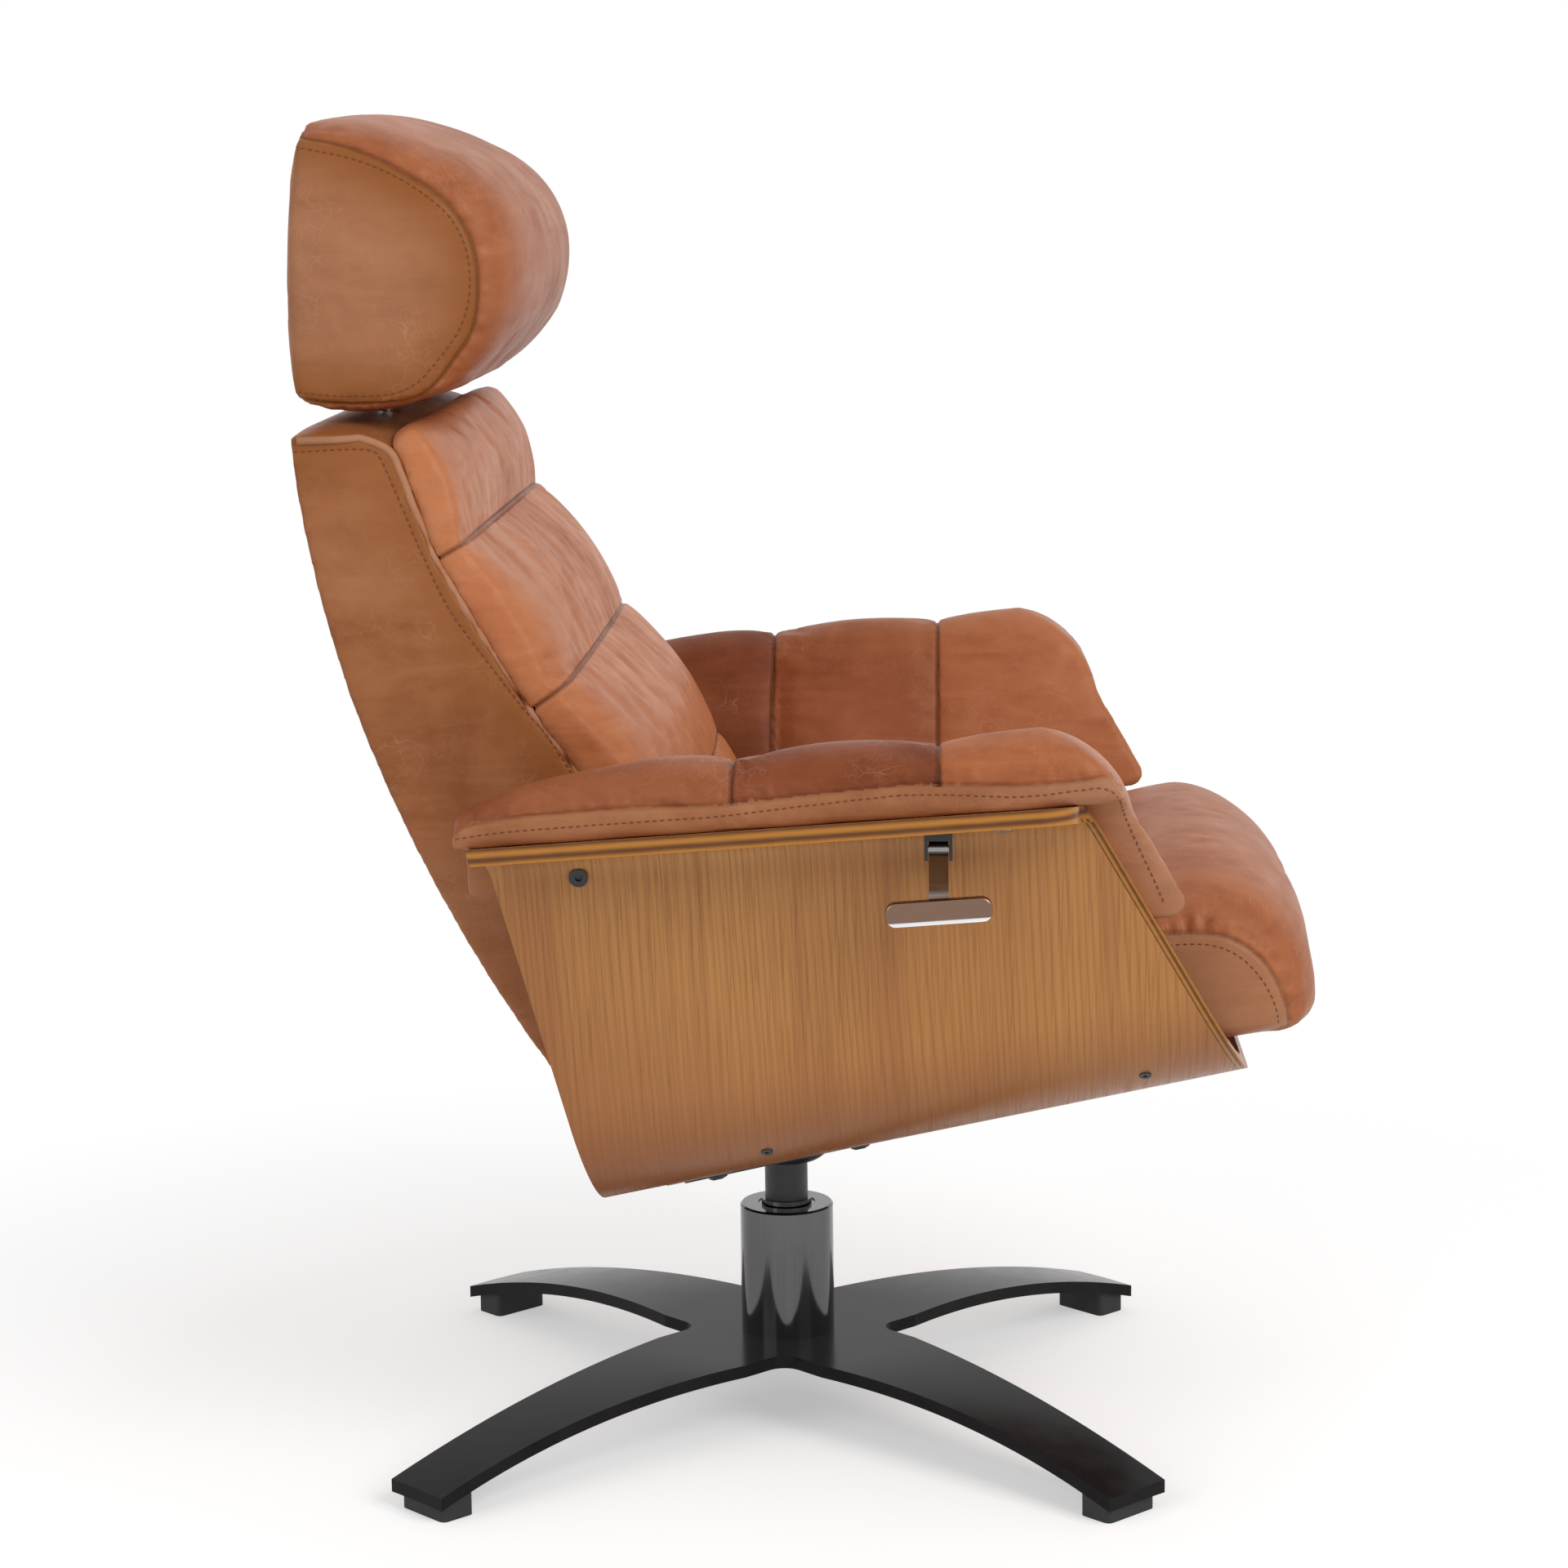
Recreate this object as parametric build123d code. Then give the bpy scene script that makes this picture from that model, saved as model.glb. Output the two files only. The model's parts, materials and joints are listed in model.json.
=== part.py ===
from build123d import *
import os
from math import cos, hypot, radians, sin, sqrt, tan

# Swivel recliner, in millimetres. +X is where the sitter faces, +Y is the sitter's left, +Z is up,
# and the origin is on the floor on the swivel axis.

# Base
leg_reach = 385.0
leg_tip_half = 31.0
leg_waist_half = 36.0
leg_waist_at = 240.0
leg_root_half = 52.0
leg_root_at = 95.0
notch_radius = 16.0
base_plate = 10.0
hub_top = 64.0
hub_flat = 110.0
leg_fall = 41.6
pad_length = 30.0
pad_half = 26.0
pad_setback = 5.0
hub_bolt_head = 17.0
hub_bolt_shank = 8.0
hub_bolt_depth = 10.0

# Column and swivel
column_radius = 38.0
column_top = 170.0
column_floor = 14.0
bearing_radius = 23.5
bearing_width = 7.0
post_radius = 17.5
running_fit = 0.05
collar_radius = 20.5
collar_height = 5.0
ring_radius = 20.0
ring_height = 2.5
dish_radius = 38.0
dish_depth = 24.0
dish_foot = 22.0

# Bucket shell
incline = 12.3
shell_bottom = 254.0
ply = 12.0
floor_half = 179.0
bend_radius = 105.0
wall_lean = 13.0
curl_radius = 30.0
rim_lean = 8.0
rim_half = 400.0
rim_height = 550.0
rim_slope = 3.74
rim_corner = 28.0
front_top = (237.0, 545.0)
front_bottom = (361.0, 327.0)
rear_top = (-206.0, 537.0)
rear_bottom = (-130.0, 226.0)

# Mount under the shell
packing = 18.0
packing_length = 190.0
packing_width = 240.0
mount_plate = 5.0
mount_length = 165.0
mount_width = 210.0
bolt_length_pitch = 116.0
bolt_width_pitch = 170.0
bolt_radius = 4.0
bolt_head = 7.5
bolt_head_height = 6.0
nut_radius = 11.0
nut_height = 2.0
hole_clearance = 0.2

# Upholstery
skin = 3.0
soft_gap = 0.3

# Recline
recline_pivot = (-125.0, 455.0)
recline_angle = 25.0
drive_arm = 145.0
spring_arm = 188.0
pivot_pin = 7.0
bush_wall = 3.0
drive_pin = 6.0
spring_pin = 4.0
hinge_plate = 6.0
hinge_half = 206.0
fork_plate = 6.0
fork_gap = 4.0
fork_slack = 0.5

# Back
back_half = 276.0
casing_wall = 9.0
cushion_root = 14.0
rear_bulge = 32.0
seam_points = [(-258.0, 816.0), (-229.0, 738.0), (-168.0, 636.0), (-92.0, 527.0), (-32.0, 388.0)]
crown_points = [(-247.0, 823.0), (-215.0, 741.0), (-139.0, 640.0), (-58.0, 527.0), (-12.0, 388.0)]
casing_top = (-345.0, 816.0)
casing_foot = (-151.0, 320.0)
casing_heel = (-60.0, 372.0)
frame_bar = 30.0
frame_bar_thick = 6.0
rail_tube = 10.0

# Seat
seat_half = 255.0
board_low = 52.0
board_thick = 12.0
board_rear = -12.0
board_front = 283.0
board_half = 236.0
seat_edge_top = 118.0
seat_crown = 48.0
seat_edge_front = 401.0
seat_front_crown = 36.0
roll_low = 30.0
roll_step = 287.0

# Slide rails
rail_at = 120.0
rail_half = 18.0
rail_height = 28.0
rail_wall = 3.0
rail_rear = -40.0
rail_front = 225.0
slot_half = 6.0
web_half = 4.0
runner_rear = -8.0
runner_front = 200.0
slide_gap = 0.4

# Gas spring
cylinder_radius = 11.0
cylinder_length = 150.0
spring_rod = 5.0
spring_front = 205.0
eye_width = 14.0
eye_wall = 5.0
eye_neck = 10.0

# Lever
lever_at = 126.0
lever_pin_radius = 2.5
paddle_length = 76.0
paddle_height = 18.0
paddle_thick = 9.0
paddle_out = 30.0
paddle_drop = 40.0
lever_arm_half = 7.0
lever_arm_thick = 3.0

# Arm pads
pad_thick = 22.0
gusset = 24.0
arm_front_lap = 27.0
arm_front_crest = 190.0
arm_rear = -260.0
arm_low = 350.0
arm_hem = 466.0
arm_hem_at = 250.0

# Headrest
post_rod = 6.0
post_at = 70.0
post_x = -300.0
post_low = 690.0
tilt_height = 930.0
cross_bar = 8.0
guide_wall = 4.0
guide_low = 735.0
head_half = 232.0
head_board = 9.0
clamp_at = 40.0
clamp_half = 12.0

# Screws, brackets and other small sizes
screw_head = 7.0
screw_head_height = 3.0
screw_shank = 3.0
rim_screw_rear = -134.0
rim_screw_front = 172.0
bend_screws_at = [-4.0, 278.0]
bend_screw_angle = 50.0
floor_screw_head = 4.5
floor_screw_height = 1.2
screw_sink = 0.6
bracket_top = 478.0
bracket_low = 412.0
rim_screw_drop = 39.0
rim_screw_turn = 110.0
cable_top = 508.0
bracket_width = 80.0
bracket_thick = 8.0
bracket_boss = 18.0
bracket_gap = 2.5
shaft_arm = 84.0
shaft_radius = 9.0
spring_bracket = 8.0
rod_start = 20.0
release_pin = 2.5
release_arm = 4.0
release_reach = 26.0
glider_wall = 2.0
glider_length = 40.0
cable_radius = 2.5
cable_ahead = 12.0
cable_lift = 1.5
lever_setback = 48.0
lever_hang = 12.0
lever_bracket_wall = 2.5
lever_side_gap = 0.5
arm_setback = 10.0
arm_inner = 318.0

# Widths and crowns
back_foot = 296.0
back_foot_half = 238.0
back_widest = 620.0
back_top_half = 254.0
back_crest = 832.0
frame_low = 346.0
frame_high = 786.0
frame_rails = [410.0, 590.0]
frame_top_rail = 768.0
guide_rail = 12.0
guide_high = 820.0
seat_rear_top = 108.0
crown_steps = [(0.0, 1.0), (0.45, 0.97), (0.78, 0.8), (0.94, 0.45), (1.0, 0.0)]

# Arm stations: place along X, crest above the rim, and the lower edge on the inner wall.
arm_stations = [
    [(-217.0, 18.0, 484.0), (-180.0, 34.0, 484.0), (-110.0, 46.0, 484.0), (-60.0, 50.0, 484.0),
     (-19.0, 45.0, 484.0)],
    [(-19.0, 45.0, 400.0), (20.0, 51.0, 400.0), (90.0, 51.0, 399.0), (126.0, 46.0, 398.0)],
    [(126.0, 46.0, 398.0), (165.0, 51.0, 398.0), (250.0, 50.0, 398.0), (345.0, 46.0, 398.0)],
]

leg_arc = ((leg_reach - hub_flat) ** 2 + leg_fall ** 2) / (2 * leg_fall)
slope = tan(radians(incline))
c_inc = cos(radians(incline))
lever_y = lever_setback - rim_half
s_inc = sin(radians(incline))
floor_up = ply * c_inc


def steps_across(half):
    side_steps = [(half * share, full) for share, full in crown_steps]
    return [(-y, full) for y, full in reversed(side_steps)] + side_steps[1:]


back_crown = steps_across(back_half + 4)
seat_fullness = steps_across(seat_half)
head_fullness = steps_across(head_half)

os.makedirs("parts", exist_ok=True)


def save(name, *solids):
    group = solids[0] if len(solids) == 1 else Compound(children=list(solids))
    export_step(group, f"parts/{name}.step")


# Planes: a side view at some Y, the same view laid along the incline, and a cross section at some X.
def side(y):
    return Plane(origin=(0, y, 0), x_dir=(1, 0, 0), z_dir=(0, -1, 0))


def inclined(y):
    return Plane(origin=(0, y, shell_bottom), x_dir=(c_inc, 0, s_inc), z_dir=(0, -1, 0))


def across(x):
    return Plane(origin=(x, 0, 0), x_dir=(0, 1, 0), z_dir=(1, 0, 0))


def to_incline(x, z):
    return (x * c_inc + (z - shell_bottom) * s_inc, (z - shell_bottom) * c_inc - x * s_inc)


# A closed outline from corners (a, b, bulge), walked anticlockwise. The side that leaves a corner is
# a line, or an arc whose middle stands out from its chord by the bulge.
def outline(corners):
    sides = []
    for (a, b, bulge), (c, d, _) in zip(corners, corners[1:] + corners[:1]):
        if bulge == 0:
            sides.append(Line((a, b), (c, d)))
            continue
        length = hypot(c - a, d - b)
        middle = ((a + c) / 2 + bulge * (d - b) / length, (b + d) / 2 - bulge * (c - a) / length)
        sides.append(ThreePointArc((a, b), middle, (c, d)))
    return make_face(sides)


def drawn_in(corners, depth):
    result = []
    for before, here, after in zip(corners[-1:] + corners[:-1], corners, corners[1:] + corners[:1]):
        first = Vector(here[0] - before[0], here[1] - before[1]).normalized()
        second = Vector(after[0] - here[0], after[1] - here[1]).normalized()
        reach = depth / (1 + first.dot(second))
        across_both = first + second
        result.append((here[0] - across_both.Y * reach, here[1] + across_both.X * reach, here[2]))
    return result


# A slab of an outline on a plane family, from one place to another.
def slab(corners, place, start, end):
    return extrude(place(start) * outline(corners), amount=end - start, dir=place_axis(place))


def place_axis(place):
    return (place(1).origin - place(0).origin).normalized()


# A padded form through its cross sections, each a place and an outline, drawn in by a depth.
def padded(stations, place, depth=0.0, ruled=False):
    low, high = stations[0][0], stations[-1][0]
    sections = []
    for at, corners in stations:
        pull = depth * (1 - 2 * (at - low) / (high - low))
        sections.append(place(at + pull) * outline(drawn_in(corners, depth)))
    return loft(sections, ruled=ruled)


def pin_y(x, z, radius, start, end):
    return extrude(side(start) * (Pos(x, z) * Circle(radius)), amount=end - start, dir=(0, 1, 0))


def block(low, high):
    size = [h - l for l, h in zip(low, high)]
    centre = [(h + l) / 2 for l, h in zip(low, high)]
    return Pos(*centre) * Box(*size)


# A block or rod given in incline coordinates: along the slope, across, and up from the shell's bottom.
incline_place = Location((0, 0, shell_bottom), (0, -incline, 0))


def inclined_block(low, high):
    return incline_place * block(low, high)


def inclined_rod(u, y, low, high, radius):
    return incline_place * (Pos(u, y, (low + high) / 2) * Cylinder(radius, high - low))


def along_rod(start, end, y, w, radius):
    return incline_place * (Pos((start + end) / 2, y, w) * Rot(0, 90, 0) * Cylinder(radius, end - start))


# Base: an arched cross of four legs at 45 degrees, cut from one plate.
def leg_drop(r):
    return leg_arc - sqrt(leg_arc ** 2 - (r - hub_flat) ** 2)


def base_outline():
    leg = make_face([
        ThreePointArc((leg_root_at, -leg_root_half), (leg_waist_at, -leg_waist_half),
                      (leg_reach, -leg_tip_half)),
        Line((leg_reach, -leg_tip_half), (leg_reach, leg_tip_half)),
        ThreePointArc((leg_reach, leg_tip_half), (leg_waist_at, leg_waist_half),
                      (leg_root_at, leg_root_half)),
        Line((leg_root_at, leg_root_half), (0, leg_root_half)),
        Line((0, leg_root_half), (0, -leg_root_half)),
        Line((0, -leg_root_half), (leg_root_at, -leg_root_half)),
    ])
    cross = Sketch() + [Rot(0, 0, 45 + 90 * i) * leg for i in range(4)]
    inner = [v for v in cross.vertices() if hypot(v.X, v.Y) < leg_root_half * 1.5]
    return fillet(inner, notch_radius)


def arched_zone(low, high):
    # The space between two levels that follow the legs' arch, as a turned solid.
    end = leg_reach + 20
    mid = (hub_flat + end) / 2
    turned = Plane.XZ * make_face([
        Line((0, low), (hub_flat, low)),
        ThreePointArc((hub_flat, low), (mid, low - leg_drop(mid)), (end, low - leg_drop(end))),
        Line((end, low - leg_drop(end)), (end, high - leg_drop(end))),
        ThreePointArc((end, high - leg_drop(end)), (mid, high - leg_drop(mid)), (hub_flat, high)),
        Line((hub_flat, high), (0, high)),
        Line((0, high), (0, low)),
    ])
    return revolve(turned, Axis.Z)


def make_base():
    body = extrude(base_outline(), amount=hub_top + 5) & arched_zone(hub_top - base_plate, hub_top)
    return body - Pos(0, 0, hub_top) * Cylinder(hub_bolt_shank + hole_clearance, 4 * base_plate)


def make_feet():
    pads = []
    under_plate = arched_zone(hub_top - base_plate, hub_top + 20)
    centre = leg_reach - pad_setback - pad_length / 2
    for i in range(4):
        blank = Pos(centre, 0, hub_top / 4) * Box(pad_length, 2 * pad_half, hub_top / 2)
        blank = fillet(blank.edges().filter_by(Axis.Z), 5)
        pads.append(Rot(0, 0, 45 + 90 * i) * blank - under_plate)
    return pads


def ring(outer, inner, low, high):
    middle = Pos(0, 0, (low + high) / 2)
    return middle * Cylinder(outer, high - low) - middle * Cylinder(inner, high - low)


lower_bearing_at = hub_top + column_floor + 10


def make_column():
    tube = ring(column_radius, bearing_radius, hub_top, column_top)
    plug = Pos(0, 0, hub_top + column_floor / 2) * Cylinder(bearing_radius, column_floor)
    shelf = ring(bearing_radius, ring_radius + 1, hub_top + column_floor, lower_bearing_at)
    body = tube + plug + shelf
    rim = body.edges().filter_by(GeomType.CIRCLE).group_by(Axis.Z)[-1].sort_by(SortBy.LENGTH)[-1]
    body = chamfer(rim, 1.5)
    return body - Pos(0, 0, hub_top) * Cylinder(hub_bolt_shank, 2 * hub_bolt_depth)


def make_hub_bolt():
    head = Pos(0, 0, hub_top - base_plate - 4) * Cylinder(hub_bolt_head, 8)
    head = chamfer(head.edges().group_by(Axis.Z)[0], 1.5)
    reach = base_plate + hub_bolt_depth
    shank = Pos(0, 0, hub_top - base_plate + reach / 2) * Cylinder(hub_bolt_shank, reach)
    return head + shank


# Shell cross section: a flat floor, a bend up into a leaning wall, and a curl out to the rim.
beta = radians(wall_lean)
gamma = radians(rim_lean)


def shell_section(x, lift=0.0):
    # Key points of one half at a place along X, on the outer face raised by lift towards the sitter.
    low = shell_bottom + x * slope
    flat = floor_half + x * slope * tan(beta)
    rim_low = rim_height + x * tan(radians(rim_slope)) - ply
    bend = (flat, low + bend_radius)
    radius = bend_radius - lift
    bend_end = (bend[0] + radius * cos(beta), bend[1] - radius * sin(beta))
    start = (bend[0] + bend_radius * cos(beta), bend[1] - bend_radius * sin(beta))
    run = curl_radius * (cos(beta) - sin(gamma))
    rise = curl_radius * (cos(gamma) - sin(beta))
    gap = rim_half - start[0] - run
    wall = (rim_low - rise - gap * tan(gamma) - start[1]) / (1 - tan(beta) * tan(gamma))
    curl = (start[0] + wall * tan(beta) + curl_radius * cos(beta),
            start[1] + wall - curl_radius * sin(beta))
    turn = curl_radius + lift
    curl_start = (curl[0] - turn * cos(beta), curl[1] + turn * sin(beta))
    curl_end = (curl[0] - turn * sin(gamma), curl[1] + turn * cos(gamma))
    edge = rim_low + lift / cos(gamma)
    tip = (rim_half, edge)
    half_bend = (radians(90) + beta) / 2
    bend_mid = (bend[0] + radius * cos(half_bend), bend[1] - radius * sin(half_bend))
    mid_angle = (radians(180) - beta + radians(90) + gamma) / 2
    curl_mid = (curl[0] + turn * cos(mid_angle), curl[1] + turn * sin(mid_angle))
    return {"low": low + lift, "flat": flat, "bend_mid": bend_mid, "bend_end": bend_end,
            "curl_start": curl_start, "curl_mid": curl_mid, "curl_end": curl_end, "tip": tip,
            "curl": curl, "edge": edge}


def wall_face(z, lift=0.0):
    # How far out the wall's face lies at a height. The wall is one plane along X.
    key = shell_section(0.0)
    base = key["bend_end"]
    return base[0] + (z - base[1]) * tan(beta) - lift / cos(beta)


def half_line(key, hand):
    def at(name):
        return (hand * key[name][0], key[name][1])

    return [
        Line((hand * key["flat"], key["low"]), (0, key["low"])) if hand < 0 else
        Line((0, key["low"]), (key["flat"], key["low"])),
        ThreePointArc((hand * key["flat"], key["low"]), at("bend_mid"), at("bend_end")),
        Line(at("bend_end"), at("curl_start")),
        ThreePointArc(at("curl_start"), at("curl_mid"), at("curl_end")),
        Line(at("curl_end"), at("tip")),
    ]


def strip(x):
    outer, inner = shell_section(x), shell_section(x, ply)
    edges = half_line(outer, 1) + half_line(outer, -1) + half_line(inner, 1) + half_line(inner, -1)
    for hand in (1, -1):
        ends = [(hand * key["tip"][0], key["tip"][1]) for key in (outer, inner)]
        edges.append(Line(*ends))
    return across(x) * make_face(edges)


def make_shell():
    body = loft([strip(-300.0), strip(450.0)], ruled=True)
    front = (front_bottom[0] - front_top[0]) / (front_top[1] - front_bottom[1])
    rear = (rear_bottom[0] - rear_top[0]) / (rear_top[1] - rear_bottom[1])
    high, low = 700.0, 100.0
    keep = [
        (rear_bottom[0] + rear * (rear_bottom[1] - low), low, 0),
        (front_bottom[0] + front * (front_bottom[1] - low), low, 0),
        (front_top[0] - front * (high - front_top[1]), high, 0),
        (rear_top[0] - rear * (high - rear_top[1]), high, 0),
    ]
    body = body & slab(keep, side, -rim_half - 20, rim_half + 20)
    corner_at = front_top[0] - front * (rim_height + 15 - front_top[1]) - rim_corner
    for hand in (1, -1):
        square = block((corner_at, hand * (rim_half - rim_corner) - (0 if hand > 0 else 60), 500),
                       (corner_at + 120, hand * (rim_half - rim_corner) + (60 if hand > 0 else 0), 620))
        round_off = Pos(corner_at, hand * (rim_half - rim_corner), 560) * Cylinder(rim_corner, 200)
        body -= square - round_off
    return body


# Fasteners through the shell's wall and bend, at a place along X.
def wall_plane(x, z, hand, lift=0.0):
    return Plane(origin=(x, hand * wall_face(z, lift), z), x_dir=(1, 0, 0),
                 z_dir=(0, -hand * cos(beta), sin(beta)))


def socket_screw(place, head, height, reach):
    # The place is on the face, looking into the ply. The head's foot sinks in a little on a curved face.
    body = extrude(place.offset(-height) * Circle(head), amount=height + screw_sink)
    body += extrude(place * Circle(screw_shank), amount=reach)
    return body - extrude(place.offset(-height) * RegularPolygon(head * 0.4, 6), amount=height * 0.6)


def wall_screw(x, hand):
    z = rim_height + x * tan(radians(rim_slope)) - rim_screw_drop
    return socket_screw(wall_plane(x, z, hand), screw_head, screw_head_height, ply - hole_clearance)


def curl_plane(x, turn, hand):
    # On the hollow underside of the rim, looking up into the ply.
    key = shell_section(x)
    up = (hand * cos(radians(turn)), sin(radians(turn)))
    spot = (x, hand * key["curl"][0] + curl_radius * up[0], key["curl"][1] + curl_radius * up[1])
    return Plane(origin=spot, x_dir=(1, 0, 0), z_dir=(0, up[0], up[1]))


def bend_plane(x, turn, hand):
    key = shell_section(x)
    out = (hand * cos(radians(turn)), -sin(radians(turn)))
    spot = (x, hand * key["flat"] + bend_radius * out[0], key["low"] + bend_radius + bend_radius * out[1])
    return Plane(origin=spot, x_dir=(1, 0, 0), z_dir=(0, -out[0], -out[1]))


def make_rim_screws():
    found = []
    for hand in (1, -1):
        place = curl_plane(rim_screw_front, rim_screw_turn, hand)
        found.append(wall_screw(rim_screw_rear, hand))
        found.append(socket_screw(place, screw_head, screw_head_height, ply - hole_clearance))
    return found


def make_bend_screws():
    places = [bend_plane(x, bend_screw_angle, hand) for x in bend_screws_at for hand in (1, -1)]
    return [socket_screw(place, floor_screw_head, floor_screw_height, ply) for place in places]


# Mount under the shell, laid along the incline.
def bolt_places():
    return [(u * bolt_length_pitch / 2, y * bolt_width_pitch / 2) for u in (1, -1) for y in (1, -1)]


plate_low = -packing - mount_plate


def bolt_holes(low, high):
    return [inclined_rod(u, y, low, high, bolt_radius + hole_clearance) for u, y in bolt_places()]


def make_mount_plate():
    plate = inclined_block((-mount_length / 2, -mount_width / 2, plate_low),
                           (mount_length / 2, mount_width / 2, -packing))
    return plate - bolt_holes(plate_low - 1, 0)


def make_packing_board():
    board = inclined_block((-packing_length / 2, -packing_width / 2, -packing),
                           (packing_length / 2, packing_width / 2, 0))
    return board - bolt_holes(plate_low, 1)


def make_plate_bolts():
    bolts = []
    for u, y in bolt_places():
        head = extrude(RegularPolygon(bolt_head, 6), amount=bolt_head_height)
        head = incline_place * (Pos(u, y, plate_low - bolt_head_height) * head)
        bolts.append(head + inclined_rod(u, y, plate_low, floor_up + nut_height, bolt_radius))
    return bolts


def make_tee_nuts():
    nuts = []
    for u, y in bolt_places():
        disc = inclined_rod(u, y, floor_up, floor_up + nut_height, nut_radius)
        nuts.append(disc - inclined_rod(u, y, floor_up - 1, floor_up + nut_height + 1, bolt_radius))
    return nuts


dish_low = shell_bottom + plate_low / c_inc - dish_depth


def make_dish():
    top = dish_low + dish_depth
    turned = Plane.XZ * make_face([
        Line((0, dish_low), (dish_foot, dish_low)),
        ThreePointArc((dish_foot, dish_low), (dish_radius - 4, dish_low + dish_depth * 0.3),
                      (dish_radius, dish_low + dish_depth * 0.65)),
        Line((dish_radius, dish_low + dish_depth * 0.65), (dish_radius, top + 20)),
        Line((dish_radius, top + 20), (0, top + 20)),
        Line((0, top + 20), (0, dish_low)),
    ])
    body = revolve(turned, Axis.Z)
    body -= inclined_block((-100, -100, plate_low), (100, 100, 60))
    return body - Pos(0, 0, dish_low) * Cylinder(post_radius - running_fit, dish_depth)


def make_post():
    low = lower_bearing_at - ring_height - 4
    return ring(post_radius - running_fit, 8, low, dish_low + dish_depth / 2)


# Recline pivot: brackets on the inner wall, with pins that reach into the back.
def make_bracket(hand):
    x, z = recline_pivot
    face = wall_plane(x, z, hand, ply)
    middle = (bracket_top + bracket_low) / 2
    plate_face = wall_plane(x, middle, hand, ply)
    plate = extrude(plate_face * Rectangle(bracket_width, (bracket_top - bracket_low) / cos(beta)),
                    amount=bracket_thick)
    inner = hand * (side_half(z) + bracket_gap)
    boss = pin_y(x, z, bracket_boss, inner, hand * (wall_face(z) + bracket_boss))
    boss -= extrude(face * Rectangle(300, 300), amount=-150)
    return plate + boss - pin_y(x, z, pivot_pin, 0, hand * rim_half) - bracket_screws(hand)


def bracket_screws(hand):
    # Countersunk from inside, short of the wall's outer face.
    found = []
    for x in (recline_pivot[0] - bracket_width * 0.36, recline_pivot[0] + bracket_width * 0.36):
        place = wall_plane(x, (bracket_top + bracket_low) / 2, hand, ply).offset(bracket_thick)
        cone = loft([place * Circle(screw_head), place.offset(-screw_head_height) * Circle(screw_shank)])
        found.append(cone + extrude(place * Circle(screw_shank), amount=-bracket_thick - ply * 0.7))
    return found


def make_pivot_pins():
    x, z = recline_pivot
    outer = wall_face(z, ply) - bracket_thick
    return [pin_y(x, z, pivot_pin, hand * (hinge_half - hinge_plate - 4), hand * outer) for hand in (1, -1)]


# The back's width at a height, and its outline seen from the front.
def side_half(z):
    if z < back_widest:
        return back_foot_half + (back_half - back_foot_half) * (z - back_foot) / (back_widest - back_foot)
    return back_half


def back_front_outline(depth=0.0):
    corners = [
        (-back_foot_half, back_foot, 0), (back_foot_half, back_foot, 0), (back_half, back_widest, 6),
        (back_top_half, back_crest, 8), (-back_top_half, back_crest, 6), (-back_half, back_widest, 0),
    ]
    return slab(drawn_in(corners, depth), across, -500.0, 200.0)


def rear_knots():
    return [(x - cushion_root * 0.8, z - cushion_root * 0.6) for x, z in seam_points]


def casing_corners():
    top, one, two, three, foot = rear_knots()
    return [
        (casing_foot[0], casing_foot[1], 0), (casing_heel[0], casing_heel[1], 0), (foot[0], foot[1], 0),
        (three[0], three[1], 0), (two[0], two[1], 0), (one[0], one[1], 0), (top[0], top[1], 5),
        (casing_top[0], casing_top[1], rear_bulge),
    ]


def make_casing():
    width = back_half + 20
    body = slab(casing_corners(), side, -width, width) & back_front_outline()
    hollow = drawn_in(casing_corners(), casing_wall)
    heel = hollow[1]
    foot = rear_at(casing_foot[1] - 30, casing_wall)
    crest = rear_at(casing_top[1] - casing_wall, casing_wall)
    radius = rear_circle()[2] - casing_wall
    chord = hypot(crest[0] - foot[0], crest[1] - foot[1])
    hollow[0] = (foot[0], foot[1], 0)
    hollow[1] = (heel[0] + 4, heel[1] - 60, 0)
    hollow[7] = (crest[0], crest[1], radius - sqrt(radius ** 2 - chord ** 2 / 4))
    body -= slab(hollow, side, -width, width) & back_front_outline(casing_wall)
    x, z = recline_pivot
    body -= pin_y(x, z, pivot_pin + 1.5, -rim_half, rim_half)
    for y in (post_at, -post_at):
        body -= Pos(post_x, y, back_crest) * Cylinder(post_rod + guide_wall, 200)
    return body


# Front cushion of the back: four panels between sewn channels, crowned towards the middle.
def back_stations():
    stations = []
    rear = [(x + 0.24, z + 0.18) for x, z in rear_knots()]
    for y, fullness in back_crown:
        knots = []
        for (x, z), (crown_x, crown_z) in zip(seam_points, crown_points):
            knots.append((x + 5 + (crown_x - x - 5) * fullness, z + 3 + (crown_z - z - 3) * fullness))
        bulge = 3 + 8 * fullness
        corners = [(rear[4][0], rear[4][1], 0)]
        corners += [(x, z, bulge) for x, z in reversed(knots)]
        corners[-1] = (knots[0][0], knots[0][1], 2)
        corners += [(x, z, 0) for x, z in rear[:4]]
        stations.append((y, corners))
    return stations


def back_pad(depth):
    return padded(back_stations(), side, depth) & back_front_outline(depth + 1.0)


# Steel frame of the back: two bars that follow the rear curve, with cross rails.
def rear_circle():
    (x0, z0), (x1, z1) = casing_top, casing_foot
    chord = hypot(x1 - x0, z1 - z0)
    radius = (chord ** 2 / 4 + rear_bulge ** 2) / (2 * rear_bulge)
    out = ((z1 - z0) / chord, -(x1 - x0) / chord)
    reach = radius - rear_bulge
    return ((x0 + x1) / 2 - out[0] * reach, (z0 + z1) / 2 - out[1] * reach, radius)


def rear_at(z, depth):
    x, mid, radius = rear_circle()
    return (x - sqrt((radius - depth) ** 2 - (z - mid) ** 2), z)


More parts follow.
